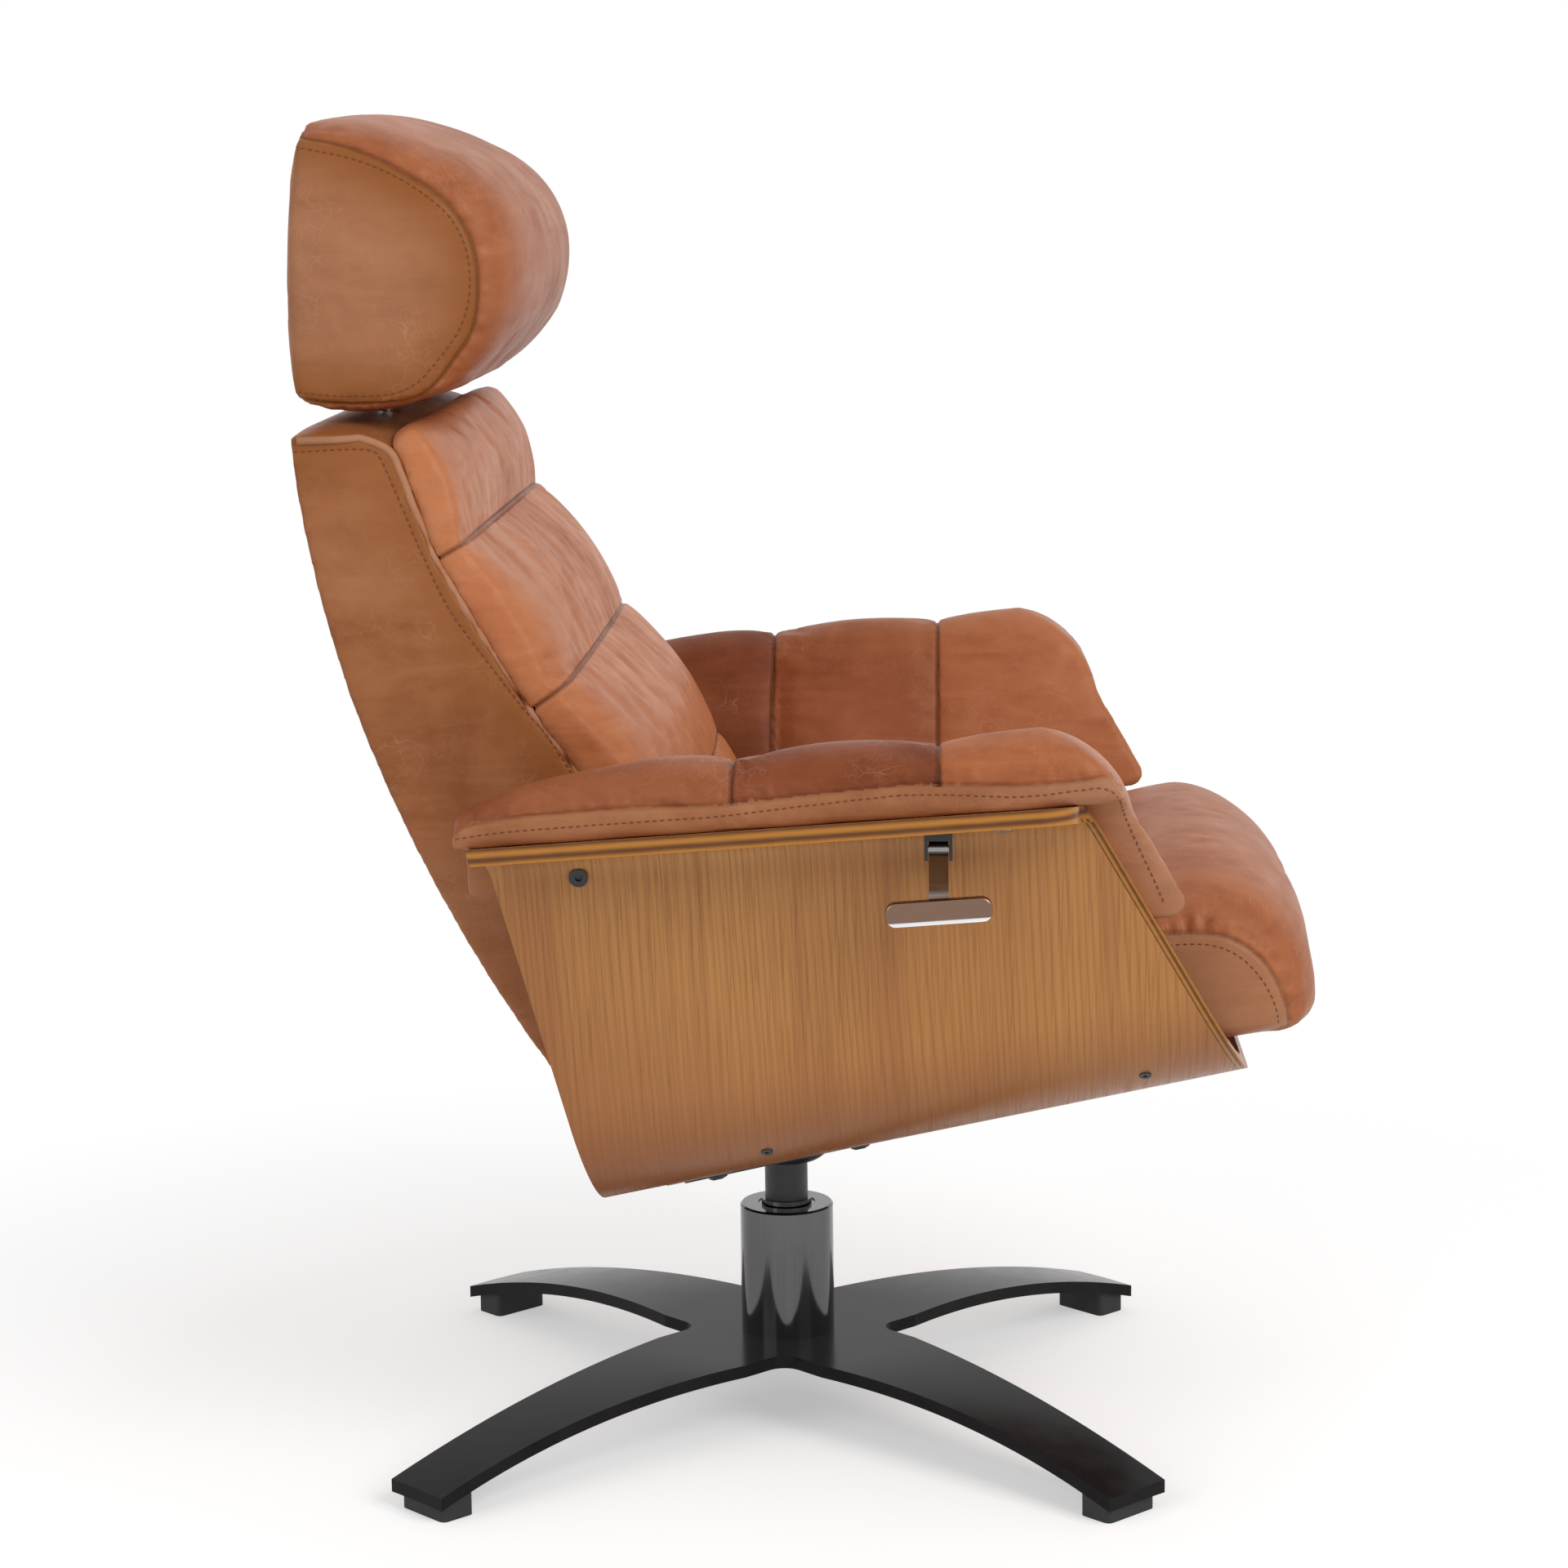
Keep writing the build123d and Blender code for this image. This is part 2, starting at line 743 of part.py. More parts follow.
def make_back_frame():
    near, far = casing_wall + soft_gap, casing_wall + soft_gap + frame_bar
    middle = (frame_low + frame_high) / 2
    bar = make_face([
        ThreePointArc(rear_at(frame_low, near), rear_at(middle, near), rear_at(frame_high, near)),
        Line(rear_at(frame_high, near), rear_at(frame_high, far)),
        ThreePointArc(rear_at(frame_high, far), rear_at(middle, far), rear_at(frame_low, far)),
        Line(rear_at(frame_low, far), rear_at(frame_low, near)),
    ])
    outer = hinge_half - hinge_plate
    frame = Part()
    for hand in (1, -1):
        frame += extrude(side(hand * outer) * bar, amount=frame_bar_thick, dir=(0, -hand, 0))
    for z in frame_rails:
        x = rear_at(z, (near + far) / 2)[0]
        frame += pin_y(x, z, rail_tube, -outer, outer)
    top = block((post_x - guide_rail, -outer, frame_top_rail - guide_rail),
                (post_x + guide_rail, outer, frame_top_rail + guide_rail))
    for y in (post_at, -post_at):
        top -= Pos(post_x, y, frame_top_rail) * Cylinder(post_rod + guide_wall, 100)
    return frame + top


def make_guides():
    return [Pos(post_x, y, 0) * ring(post_rod + guide_wall, post_rod + running_fit, guide_low, guide_high)
            for y in (post_at, -post_at)]


# Where a point on the back's lower arm stands at rest, so that half of its swing lies on each side of
# the square to the incline.
def arm_point(length):
    angle = radians(-90 + incline - recline_angle / 2)
    return (recline_pivot[0] + length * cos(angle), recline_pivot[1] + length * sin(angle))


def round_plate(ends):
    return make_hull([e for x, z, radius in ends for e in (Pos(x, z) * Circle(radius)).edges()])


def make_hinge_plate(hand):
    x, z = recline_pivot
    drive = arm_point(drive_arm)
    near = casing_wall + soft_gap
    low, high = rear_at(z - 45, near + 14), rear_at(z + 45, near + 14)
    shape = round_plate([(x, z, 26.0), (drive[0], drive[1], drive_pin + 9)])
    shape += round_plate([(x, z, 26.0), (low[0], low[1], 12.0), (high[0], high[1], 12.0)])
    plate = extrude(side(hand * hinge_half) * shape, amount=hinge_plate, dir=(0, -hand, 0))
    plate -= pin_y(x, z, pivot_pin + bush_wall, -rim_half, rim_half)
    return plate - pin_y(drive[0], drive[1], drive_pin, -rim_half, rim_half)


def make_bushes():
    x, z = recline_pivot
    middle = hinge_half - hinge_plate / 2
    found = []
    for hand in (1, -1):
        outer = pin_y(x, z, pivot_pin + bush_wall, hand * (middle - 6), hand * (middle + 6))
        found.append(outer - pin_y(x, z, pivot_pin + running_fit, -rim_half, rim_half))
    return found


fork_outer = hinge_half - hinge_plate - fork_gap


def make_drive_pins():
    x, z = arm_point(drive_arm)
    inner = fork_outer - fork_plate - 3
    return [pin_y(x, z, drive_pin, hand * inner, hand * hinge_half) for hand in (1, -1)]


def make_cross_shaft():
    x, z = arm_point(shaft_arm)
    end = arm_point(spring_arm)
    inner = hinge_half - hinge_plate
    body = pin_y(x, z, shaft_radius, -inner, inner)
    cheek = round_plate([(x, z, shaft_radius + 6), (end[0], end[1], spring_pin + 6)])
    for hand in (1, -1):
        start = hand * (eye_width / 2 + 2)
        body += extrude(side(start) * cheek, amount=5, dir=(0, hand, 0))
    return body - pin_y(end[0], end[1], spring_pin, -100, 100)


# Gas spring along the incline: the cylinder rides with the back's arm, the rod is held at the front.
spring_eye = to_incline(*arm_point(spring_arm))
spring_sag = spring_arm * (1 - cos(radians(recline_angle / 2)))
spring_line = spring_eye[1] - spring_sag / 2
eye_hole = spring_pin + spring_sag / 2 + fork_slack
cylinder_rear = spring_eye[0] + eye_hole + eye_wall + eye_neck
cylinder_front = cylinder_rear + cylinder_length


def inclined_pin(u, w, radius, start, end):
    return extrude(inclined(start) * (Pos(u, w) * Circle(radius)), amount=end - start, dir=(0, 1, 0))


def make_cylinder():
    body = along_rod(cylinder_rear, cylinder_front, 0, spring_line, cylinder_radius)
    body -= along_rod(cylinder_rear + 20, cylinder_front + 1, 0, spring_line, spring_rod + running_fit)
    half = eye_width / 2
    eye = inclined_pin(spring_eye[0], spring_line, eye_hole + eye_wall, -half, half)
    eye += along_rod(spring_eye[0], cylinder_rear + 1, 0, spring_line, half - 0.5)
    return body + eye - inclined_pin(spring_eye[0], spring_line, eye_hole, -half - 1, half + 1)


def make_spring_rod():
    return along_rod(cylinder_front - rod_start, spring_front + spring_bracket, 0, spring_line, spring_rod)


def make_spring_bracket():
    body = inclined_block((spring_front, -16, floor_up), (spring_front + spring_bracket, 16, board_low - 2))
    body += inclined_block((spring_front - 20, -16, floor_up), (spring_front, 16, floor_up + 5))
    return body - along_rod(0, 400, 0, spring_line, spring_rod)


head_rear = spring_front + spring_bracket


def make_release_head():
    body = inclined_block((head_rear, -9, spring_line - 10), (head_rear + 20, 9, spring_line + 10))
    return body - inclined_pin(head_rear + 12, spring_line, release_pin, -20, 20)


def make_release_pin():
    return inclined_pin(head_rear + 12, spring_line, release_pin, -9, 9 + release_arm + 1.5)


def make_release_arm():
    ends = [(head_rear + 12, spring_line, 7.0), (head_rear + 12 + release_reach, spring_line, 4.0)]
    plate = extrude(inclined(9.5) * round_plate(ends), amount=release_arm, dir=(0, 1, 0))
    return plate - inclined_pin(head_rear + 12, spring_line, release_pin + running_fit, 0, 40)


# Slide rails on the shell's floor and the seat's runners in them.
def make_rail(hand):
    y = hand * rail_at
    top = floor_up + rail_height
    body = inclined_block((rail_rear, y - rail_half, floor_up), (rail_front, y + rail_half, top))
    body -= inclined_block((rail_rear - 1, y - rail_half + rail_wall, floor_up + rail_wall),
                           (rail_front + 1, y + rail_half - rail_wall, top - rail_wall))
    return body - inclined_block((rail_rear - 1, y - slot_half, floor_up + rail_wall),
                                 (rail_front + 1, y + slot_half, top + 1))


def make_runner(hand):
    y = hand * rail_at
    inside = rail_half - rail_wall - glider_wall - slide_gap
    low = floor_up + rail_wall + glider_wall + slide_gap
    high = floor_up + rail_height - rail_wall - glider_wall - slide_gap
    body = inclined_block((runner_rear, y - inside, low), (runner_front, y + inside, high))
    body += inclined_block((runner_rear, y - web_half, low), (runner_front, y + web_half, board_low))
    return body + inclined_block((runner_rear, y - rail_half, board_low - 4),
                                 (runner_front, y + rail_half, board_low))


def make_gliders():
    # Nylon shoes wrapped round the runner's foot at both ends.
    found = []
    inside = rail_half - rail_wall - slide_gap
    low, high = floor_up + rail_wall + slide_gap, floor_up + rail_height - rail_wall - slide_gap
    for hand in (1, -1):
        y = hand * rail_at
        for start in (runner_rear + 4, runner_front - glider_length - 4):
            shoe = inclined_block((start, y - inside, low), (start + glider_length, y + inside, high))
            found.append(shoe - make_runner(hand))
    return found


def make_seat_board():
    board = inclined_block((board_rear, -board_half, board_low),
                           (board_front, board_half, board_low + board_thick))
    return fillet(board.edges().filter_by(lambda e: abs(e.length - board_thick) < 0.01), 30)


# Drive fork: takes the seat along with the back's drive pin, in an upright slot.
def make_fork(hand):
    u, w = to_incline(*arm_point(drive_arm))
    sag = drive_arm * (1 - cos(radians(recline_angle / 2)))
    tip = drive_pin + fork_slack + 8
    shape = round_plate([(u, w - sag / 2, tip), (board_rear + 4, board_low - 12, 10.0)])
    foot = make_face(Polyline([(board_rear + 4, board_low - 22), (board_rear + 90, board_low - 12),
                               (board_rear + 90, board_low), (board_rear + 4, board_low),
                               (board_rear + 4, board_low - 22)]))
    shape += foot
    shape -= Pos(0, board_low + 40) * (Pos(board_rear + 90, 0) * Rectangle(180, 80))
    slot = Pos(u, w - sag / 2) * Rotation(0, 0, 90) * SlotOverall(2 * (drive_pin + fork_slack) + sag + 1,
                                                                  2 * (drive_pin + fork_slack))
    shape -= slot
    return extrude(inclined(hand * fork_outer) * shape, amount=fork_plate, dir=(0, -hand, 0))


# Seat cushion: a full front roll with D-shaped ends, crowned towards the middle.
def seat_stations():
    stations = []
    for y, full in seat_fullness:
        top = seat_edge_top + seat_crown * full
        front = seat_edge_front + seat_front_crown * full
        low = roll_low + 8 - 16 * full
        corners = [
            (board_rear + 3, board_low + board_thick + soft_gap, 0),
            (roll_step, board_low + board_thick + soft_gap, 0),
            (roll_step, low + 8 - 4 * full, 0),
            (front - 24, low, 5),
            (front, low + 16, 24),
            (front - 62, top - 2, 6 + 3 * full),
            (board_rear + 22, seat_rear_top + 8 * full, 8),
        ]
        stations.append((y, corners))
    return stations


def seat_pad(depth):
    return padded(seat_stations(), inclined, depth)


# Arm pads: three panels between sewn channels, over the rim and down the inner wall.
def arm_corners(x, crest, low):
    key = shell_section(x, ply + soft_gap)
    foot_y = rim_half - arm_setback
    foot = key["tip"][1] - arm_setback * tan(gamma)
    low = max(low, key["bend_end"][1] + 4)
    wall = wall_face(low, ply + soft_gap)
    turn = curl_radius + ply + soft_gap
    sag = turn * (1 - cos(radians(90 - wall_lean - rim_lean) / 2))
    side_height = min(gusset, crest * 0.6)
    inner = (arm_inner, foot + min(16.0, crest * 0.4))
    rise = crest - (side_height + inner[1] - foot) / 2
    return [
        (wall, low, 0),
        (key["curl_start"][0], key["curl_start"][1], -sag),
        (key["curl_end"][0], key["curl_end"][1], 0),
        (foot_y, foot, 0),
        (foot_y + 2, foot + side_height, rise),
        (inner[0], inner[1], 4),
        (wall - pad_thick, low, 0),
    ]


def arm_panels(depth):
    end = drawn_in(arm_front_outline(), depth)
    keep = slab(end, side, 0.0, rim_half + 50)
    panels = []
    for stations in arm_stations:
        sections = [(x, arm_corners(x, crest, low)) for x, crest, low in stations]
        panels.append(padded(sections, across, depth) & keep)
    return panels


def arm_front_outline():
    lean = (front_bottom[0] - front_top[0]) / (front_top[1] - front_bottom[1])

    def front_x(z):
        return front_top[0] + arm_front_lap + 3 + (front_top[1] - z) * lean

    hem = arm_hem
    return [
        (arm_rear, arm_low, 0), (arm_hem_at - 90, arm_low, 0), (arm_hem_at, hem - 6, 0),
        (front_x(hem) - 14, hem, 3), (front_x(hem + 14), hem + 14, 0), (front_x(545), 545, 17),
        (arm_front_crest, 616, 0), (arm_front_crest, 680, 0), (arm_rear, 680, 0),
    ]


def joined(solids):
    whole = solids[0]
    for solid in solids[1:]:
        whole = whole + solid
    return whole


def make_arm(hand):
    cover = joined(arm_panels(0.0))
    foam = arm_panels(skin + soft_gap)
    for hollow in arm_panels(skin):
        cover -= hollow
    if hand < 0:
        cover = mirror_y(cover) - cable_channel()
        foam = [mirror_y(piece) - cable_channel() for piece in foam]
    return cover, foam


def mirror_y(solid):
    return mirror(solid, about=Plane.XZ)


# Release cable from the lever, down inside the wall and along the floor to the gas spring.
def cable_points():
    top = cable_top
    inside = cable_radius + 2.0
    tip = incline_place * Pos(head_rear + 12 + release_reach, 0, spring_line)
    x, z = tip.position.X, tip.position.Z
    # It crosses the floor ahead of the runners at the end of their glide.
    ahead = runner_front + 2 * drive_arm * sin(radians(recline_angle / 2)) + cable_ahead
    cross = incline_place * Pos(ahead, 0, floor_up + cable_radius + cable_lift)
    cross_x, cross_z = cross.position.X, cross.position.Z
    return [
        (lever_at, -wall_face(top) - 12, top + 4), (lever_at, -wall_face(top, ply / 2), top + 1),
        (lever_at, -wall_face(top - 8, ply + inside), top - 6),
        (lever_at, -wall_face(top - 26, ply + inside + 1), top - 26),
        (lever_at, -wall_face(top - 70, ply + inside), top - 70),
        (lever_at + 4, -wall_face(400.0, ply + inside), 400.0),
        (lever_at + 34, -wall_face(358.0, ply + inside) + 2, 355.0),
        (lever_at + 96, -floor_half - 26, 328.0), (cross_x, -rail_at - 30, cross_z),
        (cross_x, -rail_at + 25, cross_z), (x + 16, -48.0, z - 9), (x, -6.0, z),
    ]


def make_cable(radius):
    route = Spline(*cable_points())
    start = Plane(origin=route @ 0, z_dir=route % 0)
    return sweep(start * Circle(radius), path=route)


def cable_channel():
    top = cable_top + 7
    low = 380.0
    width = 2 * cable_radius + 11
    depth = 2 * cable_radius + 6
    face = wall_plane(lever_at + 1, (top + low) / 2, -1, ply)
    return extrude(face * Rectangle(width, (top - low) / cos(beta)), amount=depth, both=True)


# Release lever under the right-hand rim: a bracket, and an arm that carries a rounded paddle.
def rim_under(x, y):
    key = shell_section(x)
    return key["tip"][1] - (rim_half - abs(y)) * tan(gamma)


lever_pivot_z = rim_under(lever_at, lever_y) - lever_hang


def pin_x(y, z, radius, start, end):
    return extrude(across(start) * (Pos(y, z) * Circle(radius)), amount=end - start, dir=(1, 0, 0))


def make_lever_bracket():
    outer = lever_arm_half + lever_bracket_wall + lever_side_gap
    inner = lever_arm_half + lever_side_gap
    low = lever_pivot_z - 7
    rim = lever_pivot_z + lever_hang
    body = block((lever_at - outer, lever_y - 11, low), (lever_at + outer, lever_y + 11, rim + 8))
    body -= block((lever_at - inner, lever_y - 30, low - 1), (lever_at + inner, lever_y + 30, rim - 5))
    body -= loft([strip(0.0), strip(240.0)], ruled=True)
    body -= block((lever_at - 60, lever_y - 60, rim + 6), (lever_at + 60, lever_y + 60, 640))
    return body - pin_x(lever_y, lever_pivot_z, lever_pin_radius, lever_at - 60, lever_at + 60)


def make_lever():
    y, z = lever_y, lever_pivot_z
    half = lever_arm_half
    knuckle = pin_x(y, z, lever_pin_radius + 2.5, lever_at - half, lever_at + half)
    out = (y - paddle_out, z - paddle_drop)
    run = hypot(paddle_out, paddle_drop)
    across_y, across_z = paddle_drop / run * lever_arm_thick / 2, -paddle_out / run * lever_arm_thick / 2
    strip_face = make_face(Polyline([(y - across_y, z - across_z), (out[0] - across_y, out[1] - across_z),
                                     (out[0] + across_y, out[1] + across_z), (y + across_y, z + across_z),
                                     (y - across_y, z - across_z)]))
    arm = extrude(across(lever_at - half) * strip_face, amount=2 * half, dir=(1, 0, 0))
    blank = Box(paddle_length, paddle_thick, paddle_height)
    blank = fillet(blank.edges().filter_by(Axis.Y), paddle_height * 0.42)
    blank = fillet(blank.edges(), 2.0)
    paddle = Pos(lever_at, out[0], out[1]) * Rot(0, -rim_slope, 0) * blank
    bore = pin_x(y, z, lever_pin_radius + running_fit, lever_at - 60, lever_at + 60)
    return knuckle + arm + paddle - bore


def make_lever_pin():
    reach = lever_arm_half + lever_side_gap + lever_bracket_wall
    return pin_x(lever_y, lever_pivot_z, lever_pin_radius, lever_at - reach, lever_at + reach)


# Headrest: posts and cross bar, and a crowned cushion that tilts on the bar.
def make_posts():
    bar = pin_y(post_x, tilt_height, cross_bar, -post_at - cross_bar, post_at + cross_bar)
    for y in (post_at, -post_at):
        bar += Pos(post_x, y, (post_low + tilt_height) / 2) * Cylinder(post_rod, tilt_height - post_low)
    return bar


def head_stations():
    stations = []
    for y, full in head_fullness:
        corners = [
            (-344, 840 - 3 * full, 8), (-243 + 14 * full, 846, 9 + 4 * full),
            (-208 + 36 * full, 934, 15 + 4 * full),
            (-263 + 30 * full, 1016 + 9 * full, 5 + 2 * full), (-337, 1031 + 17 * full, 6),
        ]
        stations.append((y, corners))
    return stations


def head_pad(depth):
    return padded(head_stations(), side, depth)


def post_slots():
    found = []
    wide = post_rod + 4
    for y in (post_at, -post_at):
        found.append(block((post_x - 20, y - wide, 800), (post_x + 68, y + wide, tilt_height + 20)))
    return found


board_x = post_x - cross_bar - 14


def make_head_board():
    blank = block((board_x - head_board, -190, 862), (board_x, 190, 1008))
    return fillet(blank.edges().filter_by(Axis.X), 25)


def make_clamps():
    found = []
    for y in (clamp_at, -clamp_at):
        body = pin_y(post_x, tilt_height, cross_bar + 6, y - clamp_half, y + clamp_half)
        body += block((board_x, y - clamp_half, tilt_height - 14),
                      (post_x, y + clamp_half, tilt_height + 14))
        found.append(body - pin_y(post_x, tilt_height, cross_bar + running_fit, -200, 200))
    return found


def bar_room():
    room = pin_y(post_x, tilt_height, cross_bar + 8, -post_at - 12, post_at + 12)
    return room + block((board_x, -post_at - 12, tilt_height - 16),
                        (post_x, post_at + 12, tilt_height + 16))


# Every piece, in the order that the chair goes together.
save("base_plate", make_base())
save("foot_pads", *make_feet())
save("column_tube", make_column())
save("hub_bolt", make_hub_bolt())
bearing_lows = (column_top - bearing_width - 1, lower_bearing_at)
bearings = [ring(bearing_radius, post_radius, low, low + bearing_width) for low in bearing_lows]
save("swivel_bearings", *bearings)

collar_low = column_top - 1 + 0.2
save("swivel_post", make_post())
collar_top = collar_low + collar_height
save("thrust_collar", ring(collar_radius, post_radius - running_fit, collar_low, collar_top))
ring_top = lower_bearing_at - 0.2
save("retaining_ring", ring(ring_radius, post_radius - running_fit, ring_top - ring_height, ring_top))
save("dish_boss", make_dish())
save("mount_plate", make_mount_plate())
save("packing_board", make_packing_board())
save("plate_bolts", *make_plate_bolts())
save("tee_nuts", *make_tee_nuts())

rim_screws = make_rim_screws()
bend_screws = make_bend_screws()
cable = make_cable(cable_radius)
shell = make_shell() - bolt_holes(-5, floor_up + 5) - rim_screws - bend_screws
shell = shell - bracket_screws(1) - bracket_screws(-1)
top = cable_top
shell -= extrude(wall_plane(lever_at, top, -1, -10) * Circle(cable_radius + 4), amount=40)
shell -= make_cable(cable_radius + 0.6)
save("bucket_shell", shell)
save("rim_screws", *rim_screws)
save("floor_screws", *bend_screws)
for hand, name in ((1, "left"), (-1, "right")):
    cover, foam = make_arm(hand)
    save(f"arm_cover_{name}", cover)
    save(f"arm_foam_{name}", *foam)
    save(f"pivot_bracket_{name}", make_bracket(hand))
    save(f"slide_rail_{name}", make_rail(hand))
    save(f"seat_runner_{name}", make_runner(hand))
    save(f"drive_fork_{name}", make_fork(hand))
    save(f"hinge_plate_{name}", make_hinge_plate(hand))
save("pivot_pins", *make_pivot_pins())
save("bracket_screws", *bracket_screws(1), *bracket_screws(-1))
save("spring_rod", make_spring_rod())
save("spring_bracket", make_spring_bracket())
save("release_head", make_release_head())
save("release_pin", make_release_pin())
save("release_arm", make_release_arm())
save("gas_cylinder", make_cylinder())
save("release_cable", cable)
save("lever_bracket", make_lever_bracket())
save("lever_pin", make_lever_pin())
save("release_lever", make_lever())

save("back_frame", make_back_frame())
save("pivot_bushes", *make_bushes())
save("drive_pins", *make_drive_pins())
save("cross_shaft", make_cross_shaft())
end = arm_point(spring_arm)
save("spring_pin", pin_y(end[0], end[1], spring_pin, -eye_width / 2 - 7, eye_width / 2 + 7))
save("back_casing", make_casing())
back_outer = back_pad(0.0)
save("back_cover", back_outer - back_pad(skin))
save("back_foam", back_pad(skin + soft_gap))
save("headrest_guides", *make_guides())

save("seat_board", make_seat_board())
save("seat_gliders", *make_gliders())
save("seat_cover", seat_pad(0.0) - seat_pad(skin))
save("seat_foam", seat_pad(skin + soft_gap))

save("headrest_posts", make_posts())
head_board_solid = make_head_board()
slots = post_slots()
save("headrest_cover", head_pad(0.0) - head_pad(skin) - slots)
save("headrest_foam", head_pad(skin + soft_gap) - slots - head_board_solid - bar_room())
save("headrest_board", head_board_solid)
save("headrest_clamps", *make_clamps())
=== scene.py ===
import json
import math

import bpy
import numpy as np
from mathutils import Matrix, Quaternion, Vector, kdtree, noise


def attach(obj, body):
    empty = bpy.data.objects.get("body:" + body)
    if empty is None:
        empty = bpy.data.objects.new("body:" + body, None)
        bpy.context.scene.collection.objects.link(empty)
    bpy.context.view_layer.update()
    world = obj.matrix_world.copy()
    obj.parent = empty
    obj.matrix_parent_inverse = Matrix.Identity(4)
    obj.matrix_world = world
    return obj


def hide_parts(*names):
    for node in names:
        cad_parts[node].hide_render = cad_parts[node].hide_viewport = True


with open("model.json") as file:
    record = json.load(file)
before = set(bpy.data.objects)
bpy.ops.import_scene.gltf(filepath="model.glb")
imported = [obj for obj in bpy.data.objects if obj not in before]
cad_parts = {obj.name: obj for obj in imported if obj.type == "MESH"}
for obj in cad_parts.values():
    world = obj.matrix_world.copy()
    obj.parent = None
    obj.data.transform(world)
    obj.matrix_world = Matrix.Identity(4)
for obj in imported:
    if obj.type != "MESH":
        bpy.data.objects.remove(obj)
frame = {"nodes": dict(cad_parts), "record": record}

scene = bpy.context.scene
nodes = frame["nodes"]
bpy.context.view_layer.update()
print("frame loaded:", len(nodes), "nodes")


# small helpers

def deselectAll():
    if bpy.context.object and bpy.context.object.mode != "OBJECT":
        bpy.ops.object.mode_set(mode="OBJECT")
    bpy.ops.object.select_all(action="DESELECT")


def pick(piece):
    deselectAll()
    piece.select_set(True)
    bpy.context.view_layer.objects.active = piece


def applyModifier(piece, kind, **settings):
    pick(piece)
    modifier = piece.modifiers.new(kind.title(), kind)
    for key, value in settings.items():
        setattr(modifier, key, value)
    bpy.ops.object.modifier_apply(modifier=modifier.name)


def places(piece):
    flat = np.empty(len(piece.data.vertices) * 3)
    piece.data.vertices.foreach_get("co", flat)
    return flat.reshape(-1, 3)


def directions(piece):
    flat = np.empty(len(piece.data.vertices) * 3)
    piece.data.vertices.foreach_get("normal", flat)
    return flat.reshape(-1, 3)


def setPlaces(piece, spots):
    piece.data.vertices.foreach_set("co", spots.ravel())
    piece.data.update()


def setAttribute(piece, name, values):
    layer = piece.data.attributes.get(name) or piece.data.attributes.new(name, "FLOAT", "POINT")
    layer.data.foreach_set("value", values.astype(np.float32))


def getAttribute(piece, name):
    values = np.zeros(len(piece.data.vertices), np.float32)
    layer = piece.data.attributes.get(name)
    if layer:
        layer.data.foreach_get("value", values)
    return values


def ramp(values, low, high):
    return np.clip((values - low) / (high - low), 0, 1)


def ripple(along, across, step, seed):
    # smooth wander along a seam, about -1 to 1
    return np.array([noise.noise((a / step, c / (step * 4), seed)) for a, c in zip(along, across)])


# node helpers for the finishes

def newFinish(name):
    finish = bpy.data.materials.new(name)
    finish.use_nodes = True
    tree = finish.node_tree
    return finish, tree, tree.nodes["Principled BSDF"]


def addNode(tree, kind, inputs=None, **settings):
    node = tree.nodes.new("ShaderNode" + kind)
    for key, value in settings.items():
        setattr(node, key, value)
    for key, value in (inputs or {}).items():
        socket = node.inputs[key]
        if isinstance(value, bpy.types.NodeSocket):
            tree.links.new(value, socket)
        else:
            socket.default_value = value
    return node


def objectPlace(tree, scale=(1, 1, 1), turn=(0, 0, 0)):
    spot = addNode(tree, "TexCoord").outputs["Object"]
    turned = [math.radians(a) for a in turn]
    return addNode(tree, "Mapping", {"Vector": spot, "Scale": scale, "Rotation": turned}).outputs["Vector"]


def objectAxes(tree):
    return addNode(tree, "SeparateXYZ", {0: addNode(tree, "TexCoord").outputs["Object"]}).outputs


def cloudy(tree, spot, scale, detail=4.0, rough=0.55, warp=0.0):
    inputs = {"Vector": spot, "Scale": scale, "Detail": detail, "Roughness": rough, "Distortion": warp}
    return addNode(tree, "TexNoise", inputs).outputs["Fac"]


def calc(tree, operation, first, second=0.0, third=0.0):
    return addNode(tree, "Math", {0: first, 1: second, 2: third}, operation=operation).outputs[0]


def spread(tree, value, low, high, outLow=0.0, outHigh=1.0):
    inputs = {"Value": value, "From Min": low, "From Max": high, "To Min": outLow, "To Max": outHigh}
    return addNode(tree, "MapRange", inputs, clamp=True).outputs["Result"]


def blendColour(tree, factor, first, second):
    node = addNode(tree, "Mix", data_type="RGBA")
    for socket, value in ((node.inputs[0], factor), (node.inputs[6], first), (node.inputs[7], second)):
        if isinstance(value, bpy.types.NodeSocket):
            tree.links.new(value, socket)
        else:
            socket.default_value = (*value, 1) if isinstance(value, tuple) else value
    return node.outputs[2]


def readAttribute(tree, name, share=1.0):
    return calc(tree, "MULTIPLY", addNode(tree, "Attribute", attribute_name=name).outputs["Fac"], share)


def bump(tree, height, strength, distance, under=None):
    inputs = {"Height": height, "Strength": strength, "Distance": distance}
    if under:
        inputs["Normal"] = under
    return addNode(tree, "Bump", inputs).outputs["Normal"]


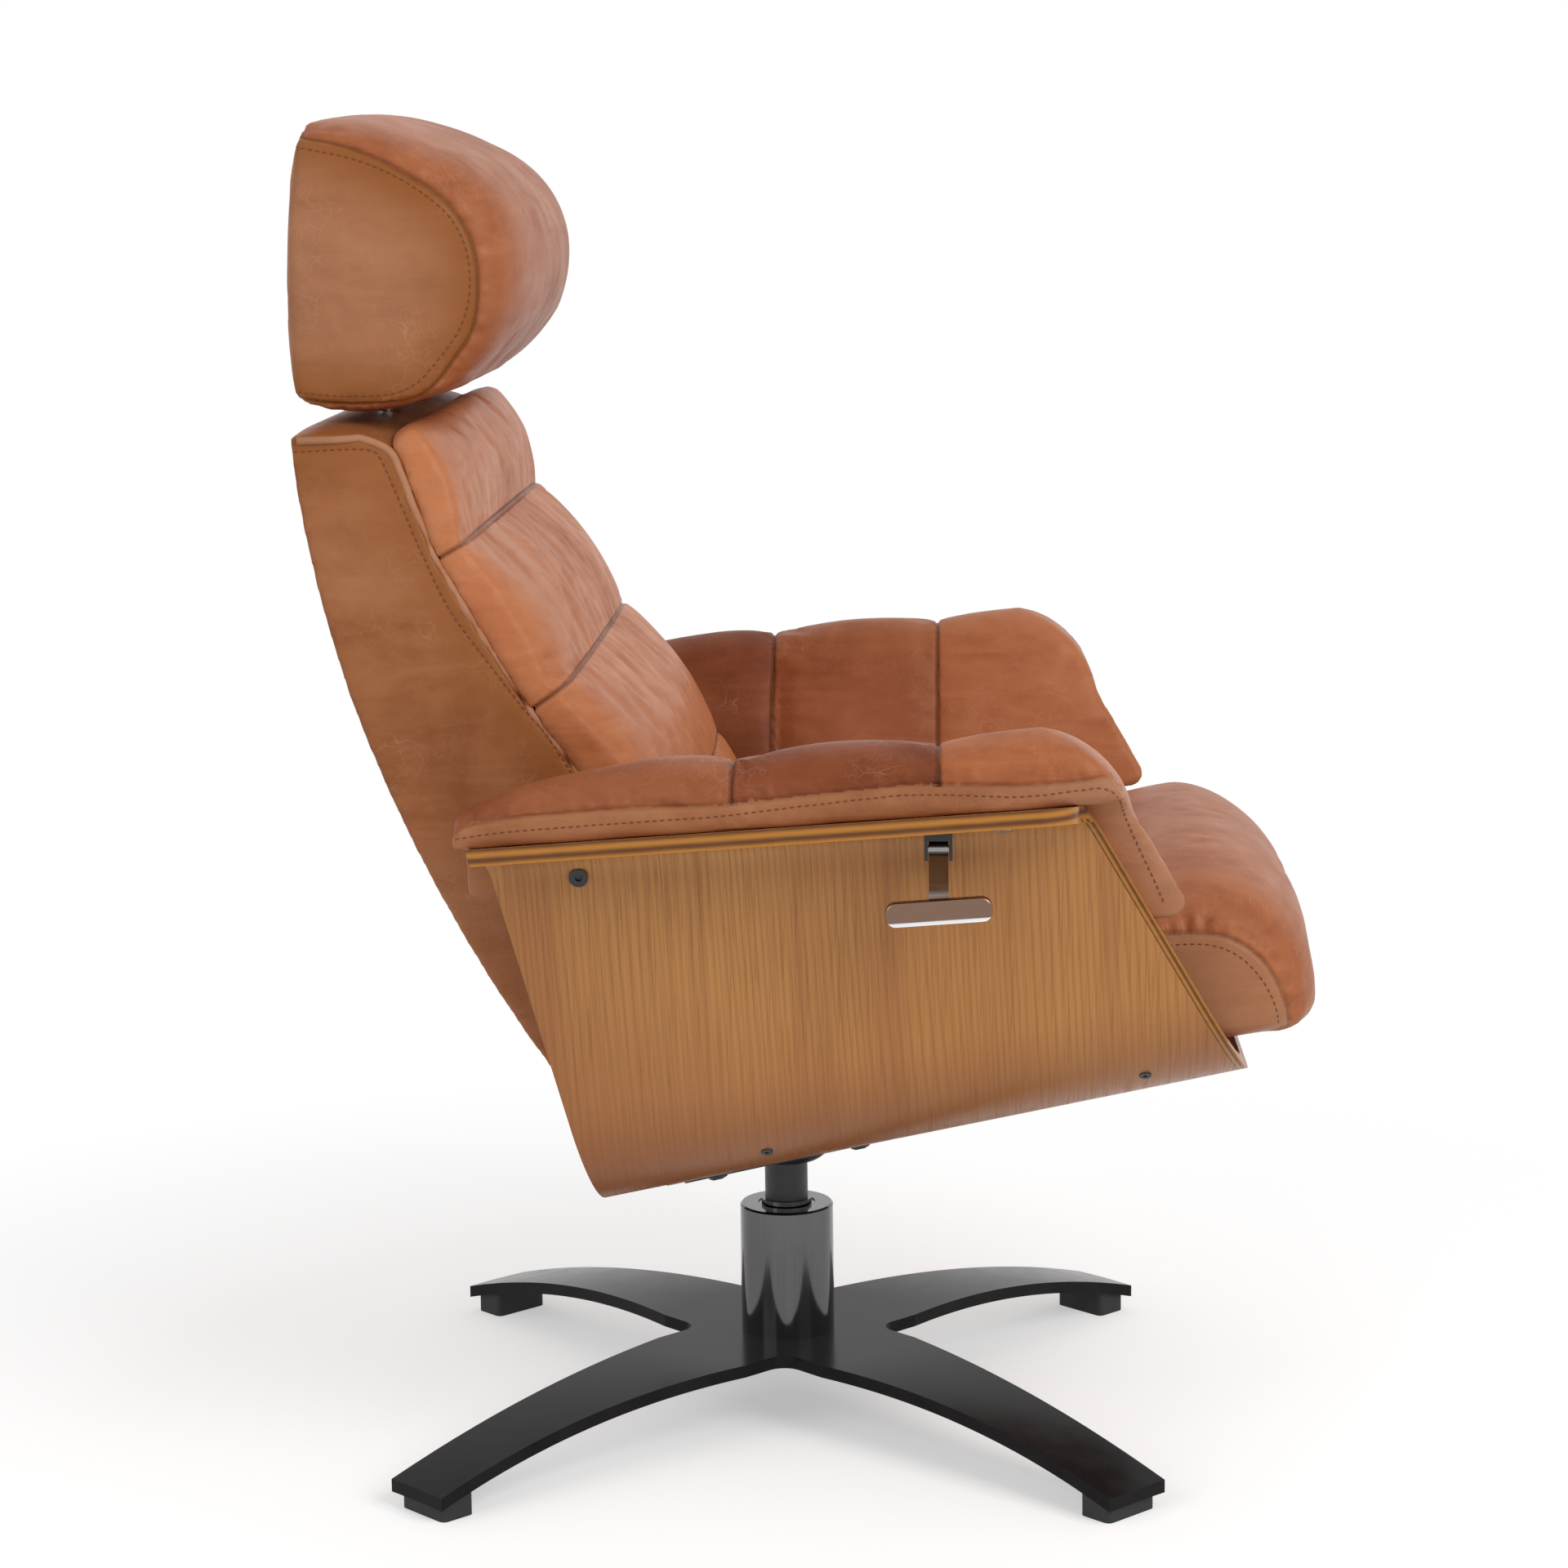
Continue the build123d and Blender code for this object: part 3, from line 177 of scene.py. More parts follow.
# leather: waxed cognac hide, pinker on the fronts, golden on the side panels, with a deep tone laid on by
# the deep attribute: painted shade on the arm tops towards the back, and a darker tone over the seat and
# headrest fronts
leatherLook = {
    "frontTones": ((0.395, 0.120, 0.043), (0.515, 0.176, 0.069), (0.595, 0.232, 0.104)),
    "panelTones": ((0.265, 0.088, 0.029), (0.350, 0.130, 0.049), (0.415, 0.174, 0.078)),
    "deepToneAndShadeTones": ((0.165, 0.039, 0.013), (0.225, 0.058, 0.020), (0.290, 0.086, 0.035)),
    "burnTone": (0.290, 0.094, 0.021),
    "seamTone": (0.070, 0.020, 0.008),
    "worn": (0.66, 0.36, 0.23),
    "burnShare": 0.9,
    "seamShare": 0.85,
    "rubShare": 0.35,
    "lineShare": 0.36,
    "toneShares": (0.56, 0.26, 0.30),
    "toneSteps": (0.42, 0.56, 0.74),
    "mottleScale": 7.5,
    "fineScale": 34.0,
    "streakStretch": (10, 10, 46),
    "streakTurn": (12, 24, 0),
    "wanderScale": 9.0,
    "scratchScale": 7.0,
    "crackleScale": 34.0,
    "pebbleScale": 620.0,
    "pebbleDepth": 0.00030,
    "roughness": (0.35, 0.50),
    "gloss": 0.16,
}


def makeLeather():
    look = leatherLook
    finish, tree, shader = newFinish("cognacLeather")
    spot = objectPlace(tree)
    streaky = objectPlace(tree, look["streakStretch"], look["streakTurn"])
    broad = cloudy(tree, spot, look["mottleScale"], 5.0, 0.6, 0.6)
    fine = cloudy(tree, spot, look["fineScale"], 5.0, 0.65, 0.3)
    streak = cloudy(tree, streaky, 1.0, 4.0, 0.6, 1.2)
    broadShare, fineShare, streakShare = look["toneShares"]
    tone = calc(tree, "MULTIPLY_ADD", broad, broadShare, calc(tree, "MULTIPLY", fine, fineShare))
    tone = calc(tree, "MULTIPLY_ADD", streak, streakShare, tone)
    dark, middle, pale = look["toneSteps"]
    hides = []
    for tones in (look["frontTones"], look["panelTones"], look["deepToneAndShadeTones"]):
        low = blendColour(tree, spread(tree, tone, dark, middle), tones[0], tones[1])
        hides.append(blendColour(tree, spread(tree, tone, middle, pale), low, tones[2]))
    colour = blendColour(tree, readAttribute(tree, "panel"), hides[0], hides[1])
    # blend towards the deep tones: painted shade on the arm tops, a darker tone on the seat and headrest
    # fronts
    colour = blendColour(tree, readAttribute(tree, "deepToneAndShade"), colour, hides[2])
    colour = blendColour(tree, readAttribute(tree, "burn", look["burnShare"]), colour, look["burnTone"])
    # pale rubbed lines and a fine web that wander over the hide
    drift = addNode(tree, "TexNoise", {"Vector": spot, "Scale": look["wanderScale"], "Detail": 3.0})
    wander = addNode(tree, "VectorMath", {0: spot, 1: drift.outputs["Color"]}, operation="ADD").outputs[0]
    marks = []
    for scale, reach, level in ((look["scratchScale"], 0.012, 1.0), (look["crackleScale"], 0.05, 0.55)):
        cells = addNode(tree, "TexVoronoi", {"Vector": wander, "Scale": scale}, feature="DISTANCE_TO_EDGE")
        marks.append(spread(tree, cells.outputs["Distance"], 0.0, reach, level, 0.0))
    mask = spread(tree, cloudy(tree, spot, 16.0, 3.0), 0.48, 0.72)
    line = calc(tree, "MULTIPLY", calc(tree, "MAXIMUM", *marks), mask)
    colour = blendColour(tree, calc(tree, "MULTIPLY", line, look["lineShare"]), colour, look["worn"])
    colour = blendColour(tree, readAttribute(tree, "rub", look["rubShare"]), colour, look["worn"])
    colour = blendColour(tree, readAttribute(tree, "seam", look["seamShare"]), colour, look["seamTone"])
    tree.links.new(colour, shader.inputs["Base Color"])
    low, high = look["roughness"]
    tree.links.new(spread(tree, tone, 0.4, 0.75, high, low), shader.inputs["Roughness"])
    shader.inputs["Specular IOR Level"].default_value = look["gloss"]
    cells = addNode(tree, "TexVoronoi", {"Vector": spot, "Scale": look["pebbleScale"]}, feature="SMOOTH_F1")
    grain = bump(tree, cells.outputs["Distance"], 0.35, look["pebbleDepth"])
    crease = bump(tree, cloudy(tree, streaky, 2.6, 5.0, 0.62, 1.4), 0.12, 0.0012, grain)
    tree.links.new(crease, shader.inputs["Normal"])
    return finish


leather = makeLeather()
print("leather mixed")


# thread: rust brown, twisted
threadLook = {
    "tones": ((0.13, 0.036, 0.012), (0.21, 0.066, 0.024)),
    "twistScale": 900.0,
    "twistWarp": 2.0,
    "rough": 0.7,
}


def makeThread():
    look = threadLook
    finish, tree, shader = newFinish("rustThread")
    inputs = {"Vector": objectPlace(tree), "Scale": look["twistScale"], "Distortion": look["twistWarp"]}
    twist = addNode(tree, "TexWave", inputs)
    colour = blendColour(tree, twist.outputs["Fac"], *look["tones"])
    tree.links.new(colour, shader.inputs["Base Color"])
    shader.inputs["Roughness"].default_value = look["rough"]
    return finish


thread = makeThread()


# shell: oiled ash veneer, grain running up the walls, with the ply showing along the rim and the front
shellLook = {
    "tones": ((0.555, 0.258, 0.072), (0.470, 0.198, 0.051), (0.225, 0.078, 0.018)),
    "lowRearTintAndShade": (0.300, 0.096, 0.030),
    "redStreak": (0.360, 0.128, 0.038),
    "lean": 3.0,
    "wanderStretch": (7.0, 0.8, 0.8),
    "flameStretch": (4.2, 0.9, 0.9),
    "poreStretch": (760, 14, 14),
    "broadStretch": (9, 1.2, 1.2),
    "fadeStretch": (26, 4, 4),
    "streakStretch": (34, 1.6, 1.6),
    "fleckStretch": (30, 30, 260),
    "rough": (0.34, 0.52),
    "gloss": 0.35,
    "coat": 0.10,
    "coatRough": 0.28,
    "lineStep": 0.0046,
    "lowSlope": 0.55,
    "low": (0.40, 0.20),
    "hemSlope": 0.2057,
    "hem": (0.350, 0.262),
    "edgeTones": ((0.47, 0.185, 0.024), (0.125, 0.038, 0.004)),
    "plies": 3,
    "rimBottom": 0.538,
    "rimSlope": 0.0654,
    "thickness": 0.012,
    "frontTop": (0.237, 0.545),
    "frontLean": 0.569,
    "frontBand": 0.0065,
}


def grainLines(tree, across, wander, step, sharp):
    # thin dark lines along the grain, spaced unevenly by a slow wander
    phase = calc(tree, "MULTIPLY_ADD", wander, 24.0, calc(tree, "MULTIPLY", across, 2 * math.pi / step))
    return spread(tree, calc(tree, "SINE", phase), sharp, 1.0)


def makeVeneer():
    look = shellLook
    finish, tree, shader = newFinish("ashVeneer")
    lean = (0, look["lean"], 0)
    leaned = addNode(tree, "SeparateXYZ", {0: objectPlace(tree, (1, 1, 1), lean)}).outputs["X"]
    wander = cloudy(tree, objectPlace(tree, look["wanderStretch"], lean), 1.0, 2.0, 0.45, 0.25)
    flame = cloudy(tree, objectPlace(tree, look["flameStretch"], lean), 1.0, 1.0, 0.4, 0.5)
    pore = cloudy(tree, objectPlace(tree, look["poreStretch"], lean), 1.0, 3.0, 0.55)
    broad = cloudy(tree, objectPlace(tree, look["broadStretch"], lean), 1.0, 3.0, 0.5)
    fade = cloudy(tree, objectPlace(tree, look["fadeStretch"], lean), 1.0, 3.0, 0.5)
    tones = look["tones"]
    colour = blendColour(tree, spread(tree, broad, 0.35, 0.68), tones[0], tones[1])
    streak = cloudy(tree, objectPlace(tree, look["streakStretch"], lean), 1.0, 2.0, 0.5)
    colour = blendColour(tree, spread(tree, streak, 0.52, 0.72, 0.0, 0.55), colour, look["redStreak"])
    fine = grainLines(tree, leaned, wander, look["lineStep"], -0.1)
    bent = calc(tree, "MULTIPLY_ADD", flame, 0.05, leaned)
    wide = grainLines(tree, bent, wander, look["lineStep"] * 1.6, 0.1)
    fine = calc(tree, "MULTIPLY", fine, spread(tree, fade, 0.40, 0.62, 0.10, 0.38))
    wide = calc(tree, "MULTIPLY", wide, spread(tree, fade, 0.62, 0.40, 0.08, 0.36))
    colour = blendColour(tree, calc(tree, "MAXIMUM", fine, wide), colour, tones[2])
    colour = blendColour(tree, spread(tree, pore, 0.54, 0.66, 0.0, 0.38), colour, tones[2])
    # redder and darker at the lower rear, a wood tint with painted shade in it, and painted shade where the
    # wall turns under
    axes = objectAxes(tree)
    along, up = axes["X"], axes["Z"]
    for slope, reach in ((look["lowSlope"], look["low"]), (-look["hemSlope"], look["hem"])):
        level = calc(tree, "MULTIPLY_ADD", along, slope, up)
        colour = blendColour(tree, spread(tree, level, *reach, 0.0, 0.75), colour, look["lowRearTintAndShade"])
    # ply layers: along the rim by height, down the front by the distance to the edge
    rim = calc(tree, "MULTIPLY_ADD", along, -look["rimSlope"], up)
    rimPly = calc(tree, "DIVIDE", calc(tree, "SUBTRACT", rim, look["rimBottom"]), look["thickness"])
    frontX, frontZ = look["frontTop"]
    edge = calc(tree, "MULTIPLY_ADD", calc(tree, "SUBTRACT", frontZ, up), look["frontLean"], frontX)
    square = math.cos(math.atan(look["frontLean"]))
    inset = calc(tree, "MULTIPLY", calc(tree, "SUBTRACT", edge, along), square)
    frontPly = calc(tree, "DIVIDE", inset, look["frontBand"])
    facing = addNode(tree, "SeparateXYZ", {0: addNode(tree, "TexCoord").outputs["Normal"]})
    upright = calc(tree, "LESS_THAN", calc(tree, "ABSOLUTE", facing.outputs["Z"]), 0.6)
    atRim = calc(tree, "MULTIPLY", upright, calc(tree, "GREATER_THAN", rimPly, -0.12))
    atFront = calc(tree, "LESS_THAN", frontPly, 1.0)
    fleck = cloudy(tree, objectPlace(tree, look["fleckStretch"]), 1.0, 3.0)
    for mask, ply in ((atFront, frontPly), (atRim, rimPly)):
        layer = calc(tree, "COSINE", calc(tree, "MULTIPLY", ply, look["plies"] * math.pi))
        layer = calc(tree, "ADD", layer, calc(tree, "SUBTRACT", fleck, 0.5))
        stripe = blendColour(tree, spread(tree, layer, 0.9, -0.9), *look["edgeTones"])
        colour = blendColour(tree, mask, colour, stripe)
    tree.links.new(colour, shader.inputs["Base Color"])
    tree.links.new(spread(tree, pore, 0.45, 0.68, *look["rough"]), shader.inputs["Roughness"])
    shader.inputs["Specular IOR Level"].default_value = look["gloss"]
    shader.inputs["Coat Weight"].default_value = look["coat"]
    shader.inputs["Coat Roughness"].default_value = look["coatRough"]
    tree.links.new(bump(tree, pore, 0.12, 0.0004), shader.inputs["Normal"])
    return finish


veneer = makeVeneer()
print("veneer mixed")


# metals, plastics and boards: one recipe, a set of values for each
plainLooks = {
    "glossBlack": {"tones": ((0.009, 0.009, 0.010), (0.018, 0.016, 0.016)), "metal": 0.0, "gloss": 0.07,
                   "rough": (0.14, 0.24), "grain": (40, 40, 40), "peel": (260.0, 0.06)},
    "blackNickel": {"tones": ((0.105, 0.105, 0.108), (0.130, 0.130, 0.134)), "metal": 1.0, "gloss": 0.5,
                    "rough": (0.10, 0.15), "grain": (300, 300, 9), "peel": (500.0, 0.02)},
    "satinBlack": {"tones": ((0.016, 0.016, 0.017), (0.032, 0.032, 0.034)), "metal": 0.0, "gloss": 0.5,
                   "rough": (0.36, 0.52), "grain": (90, 90, 90), "peel": (420.0, 0.10)},
    "bearingSteel": {"tones": ((0.42, 0.42, 0.43), (0.58, 0.58, 0.59)), "metal": 1.0, "gloss": 0.5,
                     "rough": (0.18, 0.32), "grain": (30, 30, 700), "peel": (600.0, 0.03)},
    "zincSteel": {"tones": ((0.46, 0.47, 0.49), (0.63, 0.64, 0.65)), "metal": 1.0, "gloss": 0.5,
                  "rough": (0.30, 0.46), "grain": (120, 120, 120), "peel": (400.0, 0.05)},
    "polishedChrome": {"tones": ((0.72, 0.72, 0.73), (0.82, 0.82, 0.83)), "metal": 1.0, "gloss": 0.5,
                       "rough": (0.05, 0.16), "grain": (14, 300, 300), "peel": (300.0, 0.02)},
    "blackNylon": {"tones": ((0.020, 0.020, 0.020), (0.036, 0.036, 0.036)), "metal": 0.0, "gloss": 0.5,
                   "rough": (0.45, 0.6), "grain": (150, 150, 150), "peel": (700.0, 0.12)},
    "padRubber": {"tones": ((0.013, 0.013, 0.013), (0.028, 0.027, 0.026)), "metal": 0.0, "gloss": 0.5,
                  "rough": (0.6, 0.8), "grain": (200, 200, 200), "peel": (900.0, 0.2)},
    "rawBoard": {"tones": ((0.50, 0.35, 0.20), (0.64, 0.49, 0.32)), "metal": 0.0, "gloss": 0.5,
                 "rough": (0.6, 0.75), "grain": (14, 220, 220), "peel": (500.0, 0.15)},
}


def makePlain(name):
    look = plainLooks[name]
    finish, tree, shader = newFinish(name)
    grain = cloudy(tree, objectPlace(tree, look["grain"]), 1.0, 4.0, 0.6)
    cloud = cloudy(tree, objectPlace(tree), 11.0, 3.0)
    tone = calc(tree, "MULTIPLY_ADD", grain, 0.6, calc(tree, "MULTIPLY", cloud, 0.4))
    colour = blendColour(tree, spread(tree, tone, 0.35, 0.68), *look["tones"])
    tree.links.new(colour, shader.inputs["Base Color"])
    tree.links.new(spread(tree, tone, 0.35, 0.68, *look["rough"]), shader.inputs["Roughness"])
    shader.inputs["Metallic"].default_value = look["metal"]
    shader.inputs["Specular IOR Level"].default_value = look["gloss"]
    scale, strength = look["peel"]
    peel = cloudy(tree, objectPlace(tree), scale, 2.0)
    tree.links.new(bump(tree, peel, strength, 0.0003), shader.inputs["Normal"])
    return finish


# lever: chrome, grey on the hanger; the brown on the paddle is a painted reflection of the leather, and the
# bright band along the paddle's lower edge is a painted highlight
leverLook = {
    "paddle": (0.225, 0.140, 0.100),
    "hanger": (0.300, 0.285, 0.275),
    "edge": (0.84, 0.84, 0.85),
    "place": 0.126,
    "slope": 0.0654,
    "paddleTop": 0.4975,
    "paddleBlend": 0.001,
    "edgeTop": 0.4818,
    "edgeBlend": 0.0004,
    "rough": (0.10, 0.22),
}


def makeLeverFinish():
    look = leverLook
    finish, tree, shader = newFinish("chromeWithPaintedReflection")
    axes = objectAxes(tree)
    along, up = axes["X"], axes["Z"]
    run = calc(tree, "SUBTRACT", along, look["place"])
    level = calc(tree, "MULTIPLY_ADD", run, -look["slope"], up)
    # brown paddle below, grey hanger above: the brown is a painted reflection of the leather
    top, blend = look["paddleTop"], look["paddleBlend"]
    high = spread(tree, level, top - blend, top + blend)
    colour = blendColour(tree, high, look["paddle"], look["hanger"])
    # painted highlight: a bright band along the paddle's lower edge
    top, blend = look["edgeTop"], look["edgeBlend"]
    under = spread(tree, level, top + blend, top - blend)
    colour = blendColour(tree, under, colour, look["edge"])
    smear = cloudy(tree, objectPlace(tree, (60, 260, 260)), 1.0, 4.0, 0.6)
    tree.links.new(colour, shader.inputs["Base Color"])
    tree.links.new(spread(tree, smear, 0.3, 0.7, *look["rough"]), shader.inputs["Roughness"])
    shader.inputs["Metallic"].default_value = 1.0
    return finish


# rim screws: black through the wall at the rear, bright under the rim at the front
rimScrewLook = {
    "black": (0.020, 0.020, 0.021),
    "bright": ((0.50, 0.51, 0.53), (0.66, 0.67, 0.68)),
    "rough": (0.28, 0.42),
    "wornScale": 300.0,
}


def makeRimScrew():
    look = rimScrewLook
    finish, tree, shader = newFinish("rimScrew")
    front = calc(tree, "GREATER_THAN", objectAxes(tree)["X"], 0.0)
    worn = cloudy(tree, objectPlace(tree), look["wornScale"], 3.0)
    bright = blendColour(tree, spread(tree, worn, 0.35, 0.65), *look["bright"])
    tree.links.new(blendColour(tree, front, look["black"], bright), shader.inputs["Base Color"])
    tree.links.new(front, shader.inputs["Metallic"])
    tree.links.new(spread(tree, worn, 0.3, 0.7, *look["rough"]), shader.inputs["Roughness"])
    return finish


slotFinish = {
    "oak_plywood": veneer,
    "inner_board": makePlain("rawBoard"),
    "gloss_black": makePlain("glossBlack"),
    "black_nickel": makePlain("blackNickel"),
    "satin_black": makePlain("satinBlack"),
    "bearing_steel": makePlain("bearingSteel"),
    "zinc_steel": makePlain("zincSteel"),
    "chrome": makePlain("polishedChrome"),
    "black_nylon": makePlain("blackNylon"),
    "pad_rubber": makePlain("padRubber"),
    "cognac_leather": leather,
    "cushion_foam": leather,
}
for part in frame["record"]["subparts"]:
    mesh = nodes[part["node"]].data
    mesh.materials.clear()
    mesh.materials.append(slotFinish[part["material_slot"]])
nodes["release_lever"].data.materials[0] = makeLeverFinish()
nodes["rim_screws"].data.materials[0] = makeRimScrew()
for name, slot in (("plate_bolts", "satin_black"), ("swivel_post", "satin_black"),
                   ("thrust_collar", "black_nickel"), ("swivel_bearings", "black_nickel")):
    nodes[name].data.materials[0] = slotFinish[slot]
print("finishes put on the frame")


# cushions: a copy of the frame's form, remeshed, blown up against its sewn lines, then sewn

def copyForm(node, name, mirrored=False):
    deselectAll()
    piece = bpy.data.objects.new(name, nodes[node].data.copy())
    scene.collection.objects.link(piece)
    piece.data.materials.clear()
    pick(piece)
    if piece.data.has_custom_normals:
        bpy.ops.mesh.customdata_custom_splitnormals_clear()
    if mirrored:
        piece.scale = (1, -1, 1)
        bpy.ops.object.transform_apply(location=False, rotation=False, scale=True)
    bpy.ops.object.mode_set(mode="EDIT")
    bpy.ops.mesh.select_all(action="SELECT")
    bpy.ops.mesh.remove_doubles(threshold=0.00005)
    bpy.ops.mesh.normals_make_consistent(inside=False)
    bpy.ops.object.mode_set(mode="OBJECT")
    return piece


def keepOutside(piece):
    # a hollow cover splits into its outer skin and its linings; the outer skin stays
    pick(piece)
    name = piece.name
    bpy.ops.object.mode_set(mode="EDIT")
    bpy.ops.mesh.select_all(action="SELECT")
    bpy.ops.mesh.separate(type="LOOSE")
    bpy.ops.object.mode_set(mode="OBJECT")
    shells = sorted(bpy.context.selected_objects, key=lambda o: o.dimensions.length)
    for lining in shells[:-1]:
        bpy.data.objects.remove(lining)
    shells[-1].name = name
    return shells[-1]


def remesh(piece, voxel, smooth):
    pick(piece)
    piece.data.remesh_voxel_size = voxel
    piece.data.use_remesh_fix_poles = False
    bpy.ops.object.voxel_remesh()
    applyModifier(piece, "SMOOTH", factor=0.5, iterations=smooth)


puffLook = {
    "pressure": 1.2,
    "tension": 20.0,
    "bending": 6.0,
    "mass": 0.35,
    "quality": 4,
    "frames": 12,
}


def puff(piece, held, slack, cap):
    # blown up from inside, with the sewn and resting points held, and no point moved past the cap
    look = puffLook
    before = places(piece)
    group = piece.vertex_groups.new(name="held")
    group.add([int(i) for i in np.flatnonzero(held)], 1.0, "REPLACE")
    pick(piece)
    cloth = piece.modifiers.new("Cloth", "CLOTH")
    settings = cloth.settings
    settings.quality = look["quality"]
    settings.mass = look["mass"]
    settings.tension_stiffness = look["tension"]
    settings.compression_stiffness = look["tension"]
    settings.shear_stiffness = look["tension"] / 3
    settings.bending_stiffness = look["bending"]
    settings.use_pressure = True
    settings.uniform_pressure_force = look["pressure"]
    settings.shrink_min = -slack
    settings.effector_weights.gravity = 0
    settings.vertex_group_mass = "held"
    cloth.collision_settings.use_collision = False
    cloth.point_cache.frame_start = 1
    cloth.point_cache.frame_end = look["frames"]
    for step in range(1, look["frames"] + 1):
        scene.frame_set(step)
    bpy.ops.object.modifier_apply(modifier=cloth.name)
    scene.frame_set(1)
    move = places(piece) - before
    length = np.linalg.norm(move, axis=1)
    move *= np.minimum(1.0, cap / np.maximum(length, 1e-9))[:, None]
    setPlaces(piece, before + move)
    piece.vertex_groups.clear()
    print(piece.name, "blown up, most", round(float(np.minimum(length, cap).max() * 1000), 1), "mm")


layLook = {
    "step": 0.002,
    "tries": 12,
    "tryStep": 0.0015,
    "castFrom": 0.7,
    "stitchLift": 0.0002,
    "fieldReach": 0.05,
}


def smoothLine(points):
    # an even run of points on a smooth curve through the given ones
    spots = [np.array(p, float) for p in points]
    ends = [2 * spots[0] - spots[1]] + spots + [2 * spots[-1] - spots[-2]]
    fine = []
    for a, b, c, d in zip(ends, ends[1:], ends[2:], ends[3:]):
        for t in np.linspace(0, 1, 40, endpoint=False):
            fine.append(0.5 * (2 * b + (c - a) * t + (2 * a - 5 * b + 4 * c - d) * t * t
                               + (3 * b - a - 3 * c + d) * t ** 3))
    fine.append(spots[-1])
    fine = np.array(fine)
    run = np.concatenate([[0], np.cumsum(np.linalg.norm(np.diff(fine, axis=0), axis=1))])
    even = np.linspace(0, run[-1], max(int(run[-1] / layLook["step"]), 2))
    return np.stack([np.interp(even, run, fine[:, k]) for k in range(fine.shape[1])], axis=1)


def layFromSide(piece, points, side, lift=0.0, depth=0.1):
    # a line drawn in the side view, laid on the piece's face on that side, moved back where it misses
    look = layLook
    bpy.context.view_layer.update()
    laid = []
    for x, z in smoothLine(points):
        for inward in range(look["tries"]):
            start = Vector((x - inward * look["tryStep"], side * look["castFrom"], z))
            found, place, normal, face = piece.ray_cast(start, Vector((0, -side, 0)))
            if found and place.y * side > depth:
                laid.append(place + normal * lift)
                break
    return laid


def lineField(piece, laid):
    # how far each point is from a laid line, and how far along it
    tree = kdtree.KDTree(len(laid))
    for i, spot in enumerate(laid):
        tree.insert(spot, i)
    tree.balance()
    spots = places(piece)
    rim = np.array([tuple(spot) for spot in laid])
    low, high = rim.min(axis=0) - layLook["fieldReach"], rim.max(axis=0) + layLook["fieldReach"]
    near = np.all((spots > low) & (spots < high), axis=1)
    gap, along = np.full(len(spots), 1.0), np.zeros(len(spots))
    for i in np.flatnonzero(near):
        spot, index, gap[i] = tree.find(Vector(spots[i]))
        along[i] = index * layLook["step"]
    return gap, along


def planeField(piece, spot, normal):
    gap = (places(piece) - np.array(spot)) @ np.array(normal)
    return np.abs(gap)


def refine(piece, near):
    pick(piece)
    bpy.ops.object.mode_set(mode="EDIT")
    bpy.ops.mesh.select_mode(type="VERT")
    bpy.ops.mesh.select_all(action="DESELECT")
    bpy.ops.object.mode_set(mode="OBJECT")
    piece.data.vertices.foreach_set("select", near)
    bpy.ops.object.mode_set(mode="EDIT")
    bpy.ops.mesh.subdivide(number_cuts=1, smoothness=0)
    bpy.ops.object.mode_set(mode="OBJECT")


def sew(piece, gap, along, look, seed, smooth=None):
    # a sewn line: a tight crease, a soft valley and gathers beside it, none on the smooth side
    spots, normals = places(piece), directions(piece)
    crease = np.exp(-(gap / look["crease"]) ** 2)
    valley = np.exp(-(gap / look["valley"]) ** 2)
    beside = np.exp(-((gap - look["valley"] * 0.55) / (look["valley"] * 0.6)) ** 2)
    near = gap < look["valley"] * 2.2
    wave = np.zeros(len(gap))
    if smooth is not None:
        near &= ~smooth
    wave[near] = ripple(along[near], gap[near], look["gatherStep"], seed)
    push = -look["creaseDepth"] * crease - look["valleyDepth"] * valley + look["gather"] * wave * beside
    setPlaces(piece, spots + normals * push[:, None])
    mark = look["dark"] * np.exp(-(gap / (look["crease"] * 0.8)) ** 2)
    setAttribute(piece, "seam", np.maximum(getAttribute(piece, "seam"), mark))


def sewLine(piece, points, side, cuts, look, seed, smoothSide=None):
    # a line laid from the side: the mesh is refined along it, then sewn
    laid = layFromSide(piece, points, side)
    for cut in cuts:
        gap, along = lineField(piece, laid)
        refine(piece, gap < cut)
    gap, along = lineField(piece, laid)
    sew(piece, gap, along, look, seed, smoothSide(piece) if smoothSide else None)


def finishCushion(piece, body, replaced):
    pick(piece)
    bpy.ops.object.shade_smooth()
    for name in ("seam", "panel", "rub", "deepToneAndShade", "burn"):
        setAttribute(piece, name, getAttribute(piece, name))
    piece.data.materials.clear()
    piece.data.materials.append(leather)
    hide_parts(*replaced)
    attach(piece, body)
    print(piece.name, "finished:", len(piece.data.polygons), "faces")


# trims on the cushions: piping and rows of stitches

def drawCurve(name, laid):
    curve = bpy.data.curves.new(name, "CURVE")
    curve.dimensions = "3D"
    spline = curve.splines.new("POLY")
    spline.points.add(len(laid) - 1)
    for point, spot in zip(spline.points, laid):
        point.co = (*spot, 1)
    piece = bpy.data.objects.new(name, curve)
    scene.collection.objects.link(piece)
    return piece


def layPiping(name, laid, radius, body):
    piece = drawCurve(name, laid[::2])
    piece.data.bevel_depth = radius
    piece.data.bevel_resolution = 2
    piece.data.use_fill_caps = True
    pick(piece)
    bpy.ops.object.convert(target="MESH")
    piece = bpy.context.object
    bpy.ops.object.shade_smooth()
    piece.data.materials.clear()
    piece.data.materials.append(leather)
    for attribute, level in (("seam", 0.0), ("panel", 1.0), ("rub", 0.9), ("deepToneAndShade", 0.0), ("burn", 0.0)):
        setAttribute(piece, attribute, np.full(len(piece.data.vertices), level))
    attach(piece, body)


stitchLook = {"length": 0.0036, "pitch": 0.0054, "thick": 0.0011}


